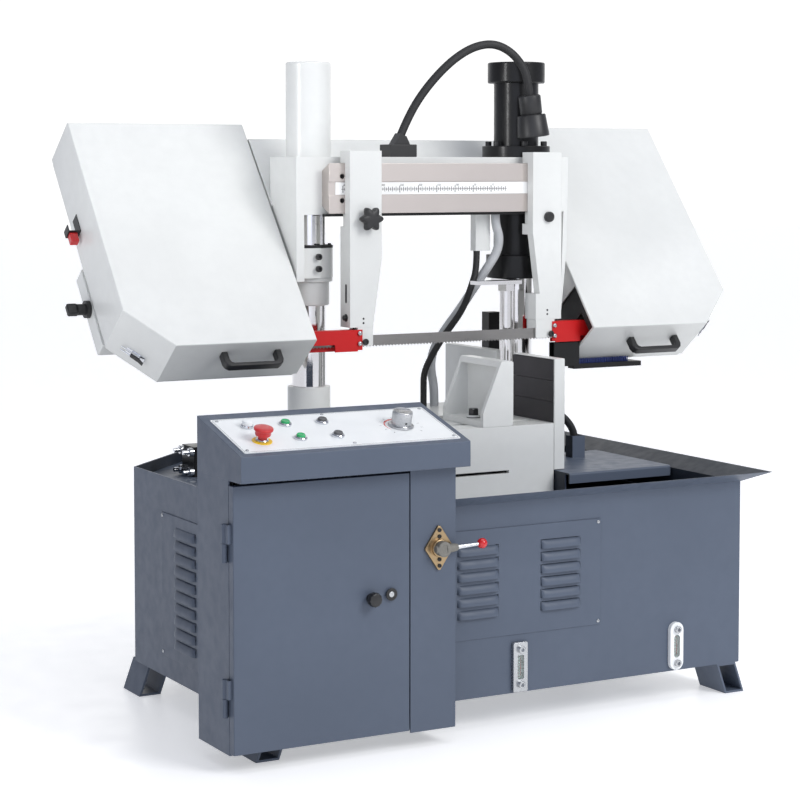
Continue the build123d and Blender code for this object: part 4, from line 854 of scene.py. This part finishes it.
def louvre_panel_details():
    front_plate = facing_front(0, TANK_FRONT_Y, 0)
    left_plate = facing_left(-TANK_HALF_X, 0, 0)
    skins = bmesh.new()
    slots = bmesh.new()
    add_prism(skins, front_plate, rounded_outline(-180, 218, 197, 431, 2), 0, 2)
    add_prism(skins, left_plate, rounded_outline(-LOUVRE_LEFT_Y1, -LOUVRE_LEFT_Y0, 118, 437, 2), 0, 2)
    for column_x in (-96.5, 113):
        for row in range(6):
            place = front_plate @ Matrix.Translation((column_x, 397 - 27 * row, 2))
            add_louvre(skins, place, 103, 19.5, 8)
            louvre_shade_slot(slots, place, 103, 19.5)
    for row in range(10):
        place = left_plate @ Matrix.Translation((-23.5, 414 - 27.5 * row, 2))
        add_louvre(skins, place, 113, 20, 8)
        louvre_shade_slot(slots, place, 113, 20)
    skin = piece("louvre_sheets", skins, "paint_blue_grey", "base", sharp=50)
    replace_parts(skin, "louvre_panels")
    # The black slots are painted shade inside the louvre openings.
    piece("louvre_opening_shade", slots, "plastic_black", "base")
    rows = [(dome_screw, facing_front(x, TANK_FRONT_Y - 2, z), 4, 2) for x in (-173, 211) for z in (205, 424)]
    rows += [(dome_screw, facing_left(-TANK_HALF_X - 2, y, z), 4, 2)
             for y in (LOUVRE_LEFT_Y0 + 7, LOUVRE_LEFT_Y1 - 7) for z in (126, 430)]
    fasteners("louvre_screws", "zinc_steel", "base", rows)


def sight_gauge(name, middle_x, middle_z, corner, frame_slot):
    """A sight gauge's frame, with an open window and its two bolts."""
    place = facing_front(middle_x, TANK_FRONT_Y, middle_z)
    bm = bmesh.new()
    outer = rounded_outline(-18, 18, -54, 54, corner)
    window = rounded_outline(-8, 8, -26, 26, min(corner, 7.9))
    loops = [ring(bm, place, [(x, y, z) for x, y in outer]) for z in (3, 9)]
    loops.append(ring(bm, place, [(x * 0.95, y * 0.985, 10) for x, y in outer]))
    loops += [ring(bm, place, [(x, y, z) for x, y in window]) for z in (10, 3)]
    for lower, upper in zip(loops, loops[1:] + loops[:1]):
        bridge(bm, lower, upper)
    add_prism(bm, place, outer, 0, 3)
    body = piece(name + "_frame", bm, frame_slot, "base")
    rows = [(socket_screw, place @ Matrix.Translation((0, z, 10)), 8, 7.5) for z in (-38, 38)]
    fasteners(name + "_bolts", "zinc_steel", "base", rows)
    bm = bmesh.new()
    add_prism(bm, place, rounded_outline(-7.9, 7.9, -25.9, 25.9, min(corner, 7.8)), 6.5, 8.6)
    piece(name + "_window", bm, "scale_face", "base", LENS)
    bm = bmesh.new()
    for index in range(7):
        z = -21 + 7 * index
        add_box(bm, place, -6, -1 if index % 2 else 1, z - 0.4, z + 0.4, 2.9, 3.2)
    add_box(bm, place, 2.6, 4.0, -20, 22, 2.9, 3.3)
    piece(name + "_marks", bm, "plastic_red", "base")
    return body


def base_details():
    oil = sight_gauge("oil_gauge", 7, 127, 3, "zinc_steel")
    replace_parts(oil, "level_gauges")
    sight_gauge("coolant_gauge", 420, 127, 17.9, "panel_white")
    louvre_panel_details()


def door_details():
    """The door's fluted knob and the metal face of its lock."""
    place = facing_front(DOOR_KNOB_X, CABINET_FRONT_Y, DOOR_KNOB_Z)
    grip = fluted(12, 0.07)
    bm = bmesh.new()
    add_lathe(bm, place, [
        (0, -16), (5, -16), (5, 0.3), (11, 0.3), (11, 8), (13.6, 8.6, grip), (15, 11, grip),
        (15, 20, grip), (13.6, 23, grip), (11, 24), (0, 24),
    ], 96)
    add_box(bm, place, -5, 30, -6, 6, -15, -12)
    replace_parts(piece("door_knob_grip", bm, "plastic_black", "door_knob"), "door_knob")
    lock = facing_front(LOCK_X, CABINET_FRONT_Y, LOCK_Z)
    rim = [(6.2, 4.6), (13, 4.6), (13, 5.6), (12.2, 6.4), (6.2, 6.4)]
    turned_ring("lock_rim", lock, rim, "plastic_black", "door")
    bm = bmesh.new()
    add_lathe(bm, lock, [(0, 4.6), (6.1, 4.6), (6.1, 5.6), (5.6, 6.0), (0, 6.0)])
    add_box(bm, lock, -0.8, 0.8, -3.6, 3.6, 5.9, 6.2)
    piece("lock_face", bm, "zinc_steel", "door")


# Pieces: bow

def star_knob():
    """The six-lobed clamp knob."""
    place = facing_front(STAR_X, ARM_FRONT_Y, STAR_Z)
    lobes = lobed(6, 0.32)
    grip = turned("star_grip", place, [
        (0, -24), (6, -24), (6, 0.3), (12, 0.3), (12, 7), (15, 9), (26.5, 10.6, lobes), (29, 13, lobes),
        (29.4, 19, lobes), (28.6, 25, lobes), (26, 28, lobes), (21, 29.4, lobes), (12, 30), (0, 30),
    ], "plastic_black", "star_knob", 96)
    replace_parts(grip, "star_knob")


def ruler_marks():
    """Tick marks and plain numbers on the opening scale."""
    place = facing_front(0, RAIL_FRONT_Y + 0.5, RAIL_MIDDLE_Z)
    bm = bmesh.new()
    for step in range(RULER_MARKS):
        x = RULER_X0 + RULER_PITCH * step
        half_width = 0.7
        reach = 3.5
        if step % 2 == 0:
            reach = 5.5
        if step % 10 == 0:
            reach = 8.0
            half_width = 0.9
        add_box(bm, place, x - half_width, x + half_width, -2 - reach, -2 + reach, -0.2, 0.12)
    end = RULER_X0 + RULER_PITCH * RULER_MARKS
    add_box(bm, place, RULER_X0 - 4, end - 1, -2.4, -1.6, -0.2, 0.12)
    piece("ruler_ticks", bm, "plastic_black", "bow")
    for index in range(9):
        x = RULER_X0 + 50 * index
        text = bpy.data.curves.new(f"ruler_number_{index}", "FONT")
        text.body = str(50 * (8 - index))
        text.size = 6.5 * MM
        text.extrude = 0.08 * MM
        text.align_x = "CENTER"
        number = new_object(f"ruler_number_{index}", text)
        spot = place @ Matrix.Translation((x + 5.5, 5.2, 0.05))
        spot.translation *= MM
        number.matrix_world = spot
        give(number, "bow", "plastic_black")


def blade_point(travel, lengths):
    """Centre and width direction of the blade at a distance along its loop."""
    right_x = mirrored(WHEEL_X)
    up_s = Vector((0, math.cos(TILT), math.sin(TILT)))
    up_n = Vector((0, -math.sin(TILT), math.cos(TILT)))
    along_bottom, round_right, along_top = lengths
    if travel < along_bottom:
        x = WHEEL_X + travel
        past_flat = max(0.0, (BLADE_FLAT_X0 - x) / BLADE_TWIST_LENGTH)
        if x > BLADE_FLAT_X1:
            past_flat = (x - BLADE_FLAT_X1) / (mirrored(BLADE_FLAT_X0 - BLADE_TWIST_LENGTH) - BLADE_FLAT_X1)
        angle = TILT * min(1.0, past_flat)
        return Vector((x, BLADE_Y, BLADE_Z)), Vector((0, -math.sin(angle), math.cos(angle)))
    travel -= along_bottom
    if travel < round_right:
        angle = travel / BLADE_R
        centre = HOUSING @ Vector((right_x, WHEEL_S, BLADE_N))
        return centre + BLADE_R * (math.sin(angle) * Vector((1, 0, 0)) - math.cos(angle) * up_s), up_n
    travel -= round_right
    if travel < along_top:
        return HOUSING @ Vector((right_x - travel, WHEEL_S + BLADE_R, BLADE_N)), up_n
    angle = (travel - along_top) / BLADE_R
    centre = HOUSING @ Vector((WHEEL_X, WHEEL_S, BLADE_N))
    return centre + BLADE_R * (-math.sin(angle) * Vector((1, 0, 0)) + math.cos(angle) * up_s), up_n


def toothed_blade():
    """The endless toothed band."""
    straight = mirrored(WHEEL_X) - WHEEL_X
    lengths = (straight, math.pi * BLADE_R, straight)
    total = 2 * straight + 2 * math.pi * BLADE_R
    teeth = round(total / TOOTH_PITCH)
    edge = ((0.0, 0.0), (0.08, 0.35), (0.22, 1.0), (0.42, 0.9), (0.8, 0.2))
    bm = bmesh.new()
    loops = []
    for tooth in range(teeth):
        for phase, notch in edge:
            travel = (tooth + phase) * total / teeth
            centre, width = blade_point(travel, lengths)
            ahead, _ = blade_point((travel + 0.5) % total, lengths)
            along = (ahead - centre).normalized()
            across = along.cross(width).normalized()
            low = -BLADE_WIDTH / 2 + TOOTH_DEPTH * notch
            top = BLADE_WIDTH / 2
            half = BLADE_THICKNESS / 2
            loop = []
            for t, w in ((-half, low), (half, low), (half, top), (-half, top)):
                loop.append(bm.verts.new((centre + across * t + width * w) * MM))
            loops.append(loop)
    for lower, upper in zip(loops, loops[1:] + loops[:1]):
        bridge(bm, lower, upper)
    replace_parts(piece("toothed_band", bm, "blade_steel", "bow", sharp=30), "saw_blade")


def arm_side_bolt():
    """The adjusting bolt and slot on the left arm's outer side."""
    side = facing_left(ARM_LEFT_X, 168, 850)
    bm = bmesh.new()
    hex_bolt(bm, side, 7, 7)
    add_prism(bm, side, rounded_outline(-4, 4, 34, 78, 3.9), -0.3, 0.5)
    piece("left_arm_side_bolt", bm, "plastic_black", "left_arm")


def arm_details():
    """Screws, bolts and the dark parts on both guide arms."""
    rows = [
        (socket_screw, facing_front(-97, ARM_FRONT_Y - 5.0, 794.5), 7.5, 3.0),
        (dome_screw, facing_front(-100, ARM_FRONT_Y - 0.2, 838), 2.5, 0.6),
        (dome_screw, facing_front(-100, ARM_FRONT_Y - 0.2, 848), 2.5, 0.6),
        (hex_bolt, facing_up(-118, ARM_FRONT_Y + 10, 823), 5, 5),
    ]
    fasteners("left_arm_screws", "plastic_black", "left_arm", rows)
    rows = [(dome_screw, facing_front(-112, ARM_FRONT_Y - 5.6, z), 5.3, 2.4) for z in (791, 815)]
    fasteners("left_guard_bolts", "zinc_steel", "left_arm", rows)
    rows = [
        (socket_screw, facing_front(413, ARM_FRONT_Y - 5.0, 794.5), 7.5, 3.0),
        (dome_screw, facing_front(405, ARM_FRONT_Y - 0.2, 842), 2.5, 0.6),
        (dome_screw, facing_front(405, ARM_FRONT_Y - 0.2, 852), 2.5, 0.6),
    ]
    fasteners("right_arm_screws", "plastic_black", "bow", rows)
    pin = [(0, -0.3), (12.4, -0.3), (12.4, 8), (11.4, 9), (6.6, 9.2), (6.0, 8.7), (0, 8.6)]
    turned("right_arm_pin", facing_front(ARM_PIN_X, ARM_FRONT_Y, ARM_PIN_Z), pin, "plastic_black", "bow")
    # A black strip in the recess under the rail: painted shade for the dark line between rail and beam.
    boxes("rail_shadow_strip", WORLD, [(-176, 440, 191, 208.5, 1084, 1090)], "rubber_black", "bow", 0.8)
    arm_side_bolt()
    rows = [(dome_screw, facing_front(424, ARM_FRONT_Y - 5.6, z), 5.3, 2.4) for z in (789, 814)]
    fasteners("right_guard_bolts", "zinc_steel", "bow", rows)
    rows = [(socket_screw, facing_front(x, RAIL_FRONT_Y + 13, RAIL_MIDDLE_Z + z), 5.4, 7.0)
            for x in (-142, 400) for z in (-28, 28)]
    fasteners("rail_screws", "plastic_black", "bow", rows)


def bearing_details():
    """Clamp screws of the left bearing and the screws on the cylinder's flanges."""
    turned_ring("column_wiper", facing_up(COLUMN_X0, COLUMN_Y, 0), [
        (41, WIPER_Z0), (57.3, WIPER_Z0), (57.3, WIPER_Z1 - 1.2), (55.8, WIPER_Z1), (43, WIPER_Z1),
        (41, WIPER_Z1 - 1.4),
    ], "rubber_black", "bow", steps=64)
    rows = [(socket_screw, facing_front(COLUMN_X0 - 10, 222.4, z), 7.4, 7.5) for z in (962, 990)]
    for degrees in (200, 270, 330, 45):
        place = facing_up(*polar(49, degrees, COLUMN_X0, COLUMN_Y), WIPER_Z1 - 0.2)
        rows.append((socket_screw, place, 4, 4))
    fasteners("bearing_screws", "plastic_black", "bow", rows)
    rows = []
    for index in range(6):
        place = facing_up(*polar(70, 60 * index + 15, COLUMN_X1, COLUMN_Y), 1249.8)
        rows.append((socket_screw, place, 7.8, 11.6))
    rows.append((socket_screw, facing_up(COLUMN_X1 - 20, COLUMN_Y - 35, 1454.6), 5, 4))
    fasteners("cylinder_screws", "plastic_black", "bow", rows)


def brush_bristles():
    """The chip brush's stiff blue bristles, between its bracket and the hood."""
    bm = bmesh.new()
    square = ((-1, -1), (1, -1), (1, 1), (-1, 1))
    for column in range(BRISTLE_COLUMNS):
        for row in range(BRISTLE_ROWS):
            x = 512 + BRISTLE_PITCH * (column + 0.5 * (row % 2))
            lean = 1.6 * math.sin(2.7 * column + row)
            foot = facing_up(x, 184 + 8 * row, 712)
            lower = ring(bm, foot, [(1.1 * u, 1.1 * v, 0) for u, v in square])
            upper = ring(bm, foot, [(lean + 0.7 * u, 0.7 * v, BRISTLE_LENGTH) for u, v in square])
            bm.faces.new(list(reversed(lower)))
            bm.faces.new(upper)
            bridge(bm, lower, upper)
    piece("brush_bristles", bm, "rubber_black", "bow", BRISTLE)


def hood_handle(name, node, middle, depth, body):
    """A strap pull handle on a hood's lower face."""
    place = HOUSING @ Matrix.Translation((middle, 0, depth - 10))
    outer = [(-73, 0.5), (-73, -25), (-69, -34), (-60, -39.5), (60, -39.5), (69, -34), (73, -25), (73, 0.5)]
    inner = [(58, 0.5), (58, -21), (55, -27), (49, -29.5), (-49, -29.5), (-55, -27), (-58, -21), (-58, 0.5)]
    bm = bmesh.new()
    add_prism(bm, place, outer + inner, 0, 20)
    bar = piece(name + "_bar", bm, "plastic_black", body, bevel=2.6)
    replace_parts(bar, node)


def toggle_latch(name, place, body):
    """A small toggle latch: base, black lever and bright hook."""
    bm = bmesh.new()
    add_prism(bm, place, rounded_outline(-9, 9, -24, 24, 3), 0, 1.6)
    add_box(bm, place, -7, -4.5, -10, 12, 1.5, 8)
    add_box(bm, place, 4.5, 7, -10, 12, 1.5, 8)
    for x in (-5.6, 5.6):
        rod_place = place @ Matrix.Translation((x, -2, 5.5)) @ Matrix.Rotation(math.radians(90), 4, "X")
        add_lathe(bm, rod_place, [(0, 0), (1.3, 0), (1.3, 34), (0, 34)], 12)
    piece(name + "_base", bm, "bezel_chrome", body, bevel=0.4)
    bm = bmesh.new()
    lever = [(-10, 6.5), (-8, 10), (14, 10.5), (25, 13), (26, 11.4), (15, 8), (0, 6)]
    side = place @ frame_of((-5.5, 0, 0), (0, 1, 0), (0, 0, 1), (1, 0, 0))
    add_prism(bm, side, lever, 0, 11)
    piece(name + "_lever", bm, "plastic_black", body, bevel=0.8)


def side_bracket():
    """The black bracket on the left hood's outer side and its red tongue."""
    side = HOUSING @ Matrix.Translation((HOOD_OUTER_X, 0, -104))
    boxes("side_bracket", side, [
        (-1.6, 0.4, 386, 434, -14, 14),
        (-30, -1.4, 386, 388.4, -14, 14),
        (-30, -27.6, 388, 404, -14, 14),
    ], "plastic_black", "left_hood", 0.5)
    boxes("side_tongue", side, [(-27, -8, 362, 386.2, -9, 9)], "plastic_red", "left_hood", 1.5)


def hood_inner_shade_sheet():
    """A black sheet across the right hood's inner end, painted shade for the dark inside of the hood."""
    wall = HOUSING @ frame_of((508, 0, 0), (0, 1, 0), (0, 0, 1), (1, 0, 0))
    outline = [(6, -7), (129, -7), (129, -134), (6, -134), (6, -96), (64, -96), (64, -30), (6, -30)]
    bm = bmesh.new()
    add_prism(bm, wall, outline, 0, 1.5)
    piece("hood_inner_shade_sheet", bm, "rubber_black", "right_hood", bevel=0.3)


def hood_details():
    hood_handle("left_pull", "left_handle", -401, -42, "left_hood")
    hood_handle("right_pull", "right_handle", 706, -58, "right_hood")
    slope = math.sqrt(0.5)
    left = HOUSING @ frame_of((-643, 50, -104), (0, 0, -1), (slope, -slope, 0), (-slope, -slope, 0))
    toggle_latch("left_latch", left, "left_hood")
    right = HOUSING @ frame_of((879, 35, -62), (0, 0, -1), (slope, slope, 0), (slope, -slope, 0))
    toggle_latch("right_latch", right, "right_hood")
    side_bracket()
    hood_inner_shade_sheet()


def drive_motor():
    """The finned blade motor, its fan cover and its terminal box."""
    x = mirrored(WHEEL_X)
    start = WHEEL_S + 92
    axis = HOUSING @ frame_of((x, start, MOTOR_N), (1, 0, 0), (0, 0, -1), (0, 1, 0))
    fins = fluted(44, 0.11)
    bm = bmesh.new()
    add_lathe(bm, axis, [
        (0, 0), (70, 0), (70, 9), (68.6, 10), (60, 10), (60, 14), (66, 15, fins), (66, 184, fins), (60, 186),
        (0, 186),
    ], 264)
    box = HOUSING @ frame_of((x - 52, start + 95, MOTOR_N), (0, 1, 0), (0, 0, -1), (-1, 0, 0))
    add_prism(bm, box, rounded_outline(-35, 35, -30, 30, 6), 0, 60)
    add_prism(bm, box, rounded_outline(-34, 34, -29, 29, 6), 59, 68)
    body = piece("motor_case", bm, "motor_blue", "bow", bevel=0.8)
    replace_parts(body, "drive_motor")
    turned("fan_cover", axis, [
        (0, 185), (69, 185), (69, 226), (66, 233), (58, 237.6), (50, 238), (50, 236), (44, 236), (44, 238),
        (36, 238), (36, 236), (30, 236), (30, 238), (22, 238), (22, 236), (16, 236), (16, 238), (0, 238),
    ], "plastic_black", "bow", 64)
    rows = []
    for degrees in (45, 135, 225, 315):
        rows.append((hex_bolt, axis @ Matrix.Translation((*polar(62, degrees), 10)), 5, 6))
    for u in (-28, 28):
        for v in (-23, 23):
            rows.append((socket_screw, box @ Matrix.Translation((u, v, 68)), 3, 1.6))
    fasteners("motor_screws", "zinc_steel", "bow", rows)


# Pieces: vise and valves

def vise_details():
    """The moving jaw's clamp bolt and the fixed jaw's screws."""
    rows = [(hex_bolt, facing_up(JAW_BOLT_X, 35, BED_TOP_Z + 14.3), 12.6, 21.2)]
    fasteners("jaw_clamp_bolt", "plastic_black", "moving_jaw", rows)
    rows = [(socket_screw, facing_right(326.6, 30, z), 8.4, 8.4) for z in (540, 580)]
    fasteners("fixed_jaw_screws", "steel_dark", "base", rows)


def valve_details():
    """Fittings on the lift valve block."""
    bm = bmesh.new()
    for y in (270, 322):
        for z in (503, 548):
            profile = [(0, -0.3), (10.2, -0.3), (10.2, 9), (9, 10.2), (5.2, 10.2), (5.2, 24.2), (0, 24.2)]
            add_lathe(bm, facing_left(-478, y, z), profile)
    piece("valve_fittings", bm, "bezel_chrome", "base")


# Pieces: cables

def lift_line(name, points, radius, slot, node):
    """A line from the base to the bow, made as a mesh of its own in place of the CAD line."""
    route = tube(name + "_route", points, radius, slot, "bow")
    mesh = bpy.data.meshes.new_from_object(route)
    bpy.data.objects.remove(route)
    mesh.name = name
    mesh.shade_smooth()
    line = new_object(name, mesh)
    mesh.materials.clear()
    mesh.materials.append(MATERIALS[slot])
    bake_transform(line)
    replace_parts(line, node)


def cables():
    lean = math.tan(CONNECTOR_LEAN)
    power = tube("power_lead", [
        (62, 262, 1275), (76, 262, 1305), (104, 255, 1358), (146, 246, 1412), (194, 236, 1458),
        (244, 226, 1488), (294, 216, 1496), (338, 207, 1476), (369, 200, 1438),
        (CONNECTOR_X - 30 * lean, CONNECTOR_Y, CONNECTOR_TOP_Z + 30),
        (CONNECTOR_X, CONNECTOR_Y, CONNECTOR_TOP_Z),
    ], 10, "rubber_black", "bow")
    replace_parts(power, "power_cable")
    lift_line("lift_conduit_line", [
        (303, 224, 1088), (303, 224, 1060), (316, 225, 1030), (312, 228, 994), (294, 240, 958),
        (274, 262, 915), (250, 302, 850), (226, 346, 790), (216, 380, 740), (222, 398, 694),
        (236, 404, 652), (236, 404, 603),
    ], 11, "conduit_grey", "lift_conduit")
    lift_line("lift_hose_line", [
        (266, 250, 995), (266, 250, 950), (250, 246, 912), (238, 268, 850), (214, 312, 790),
        (198, 350, 735), (192, 380, 690), (202, 398, 645), (202, 398, 603),
    ], 8, "rubber_black", "lift_hose")
    coolant = tube("coolant_line", [
        (336, 128, 628), (378, 128, 622), (430, 127, 600), (464, 125, 566), (473, 125, 530),
        (473, 125, 492),
    ], 9, "rubber_black", "base")
    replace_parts(coolant, "coolant_hose")


def connector_details():
    """The lead's leaning plug: gland, ribbed collar and flared skirt."""
    place = facing_up(CONNECTOR_X, CONNECTOR_Y, CONNECTOR_TOP_Z) @ Matrix.Rotation(-CONNECTOR_LEAN, 4, "Y")
    bm = bmesh.new()
    add_lathe(bm, place, [
        (0, -0.2), (24, -0.2), (26.6, -2.6), (27, -6), (27, -44), (25.6, -46), (25.6, -47.6), (33.4, -48),
        (34.6, -50), (38.2, -88), (38.9, -93), (38.9, -99), (37.4, -101), (0, -101),
    ], 64)
    port_x = CONNECTOR_X + 70 * math.tan(CONNECTOR_LEAN)
    port = frame_of((port_x, CONNECTOR_Y, 1300), (1, 0, 0), (0, 0, -1), (0, 1, 0))
    add_lathe(bm, port, [(0, 0), (14, 0), (14, 44), (0, 44)])
    add_lathe(bm, port, [(0, 36), (17.5, 36), (17.5, 42), (16.5, 43.5), (0, 43.5)])
    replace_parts(piece("plug_body", bm, "plastic_black", "bow"), "cable_connector")


# Stage, light and camera

def pale_floor():
    bm = bmesh.new()
    add_box(bm, WORLD, -30000, 30000, -30000, 30000, -20, 0)
    floor = new_object("floor", closed_mesh("floor", bm))
    white = printed("floor_white", srgb(250, 250, 250))
    tree = white.node_tree
    glow = {"Emission Color": (1, 1, 1, 1), "Emission Strength": FLOOR_GLOW}
    fill(tree, tree.nodes["Principled BSDF"], glow)
    floor.data.materials.append(white)


def studio_world():
    """A white backdrop behind the machine, a dimmer room round it and a soft box on the near side."""
    world = bpy.data.worlds.new("studio")
    bpy.context.scene.world = world
    world.use_nodes = True
    tree = world.node_tree
    background = tree.nodes["Background"]
    coordinates = tree.nodes.new("ShaderNodeTexCoord")
    facing = dot_product(tree, coordinates.outputs["Generated"], BACKDROP_DIRECTION)
    backdrop = remap(tree, facing, 0.45, 0.88)
    softbox = remap(tree, facing, -0.86, -0.95)
    colour = mix_colour(tree, backdrop, srgb(232, 238, 255), srgb(255, 255, 255))
    near = remap(tree, softbox, 0.0, 1.0, ROOM_STRENGTH, SOFTBOX_STRENGTH)
    far = remap(tree, backdrop, 0.0, 1.0, ROOM_STRENGTH, BACKDROP_STRENGTH)
    fill(tree, background, {"Color": colour, "Strength": combine(tree, "MAXIMUM", near, far)})


def area_light(name, location, target, size, power, spread_deg):
    light = bpy.data.lights.new(name, "AREA")
    light.shape = "RECTANGLE"
    light.size, light.size_y = size
    light.energy = power
    light.spread = math.radians(spread_deg)
    obj = new_object(name, light)
    obj.location = location
    direction = Vector(target) - Vector(location)
    obj.rotation_euler = direction.to_track_quat("-Z", "Y").to_euler()


def display():
    """White shows as white: no film-like compression of the highlights."""
    bpy.context.scene.view_settings.view_transform = "Standard"


def camera():
    data = bpy.data.cameras.new("camera")
    data.lens = CAMERA_LENS
    data.sensor_width = 36.0
    data.shift_x, data.shift_y = CAMERA_SHIFT
    obj = new_object("camera", data)
    obj.location = CAMERA_PLACE
    obj.rotation_euler = (math.pi / 2 - CAMERA_PITCH, 0, -CAMERA_TURN)
    bpy.context.scene.camera = obj


# The frame: every CAD node takes its record slot's material

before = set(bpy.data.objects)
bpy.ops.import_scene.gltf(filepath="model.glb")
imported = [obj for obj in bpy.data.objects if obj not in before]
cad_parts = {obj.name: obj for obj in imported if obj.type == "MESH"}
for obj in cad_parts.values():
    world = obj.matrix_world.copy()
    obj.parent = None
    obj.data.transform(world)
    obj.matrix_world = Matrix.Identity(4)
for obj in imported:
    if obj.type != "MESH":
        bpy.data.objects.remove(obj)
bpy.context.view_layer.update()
for node_name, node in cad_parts.items():
    for place in node.material_slots:
        place.material = MATERIALS[place.material.name.split(".")[0]]

console_details()
feed_lever_details()
base_details()
door_details()
star_knob()
ruler_marks()
toothed_blade()
arm_details()
bearing_details()
hood_details()
brush_bristles()
drive_motor()
vise_details()
valve_details()
cables()
connector_details()
pale_floor()
studio_world()
for light_row in LIGHTS:
    area_light(*light_row)
display()
camera()
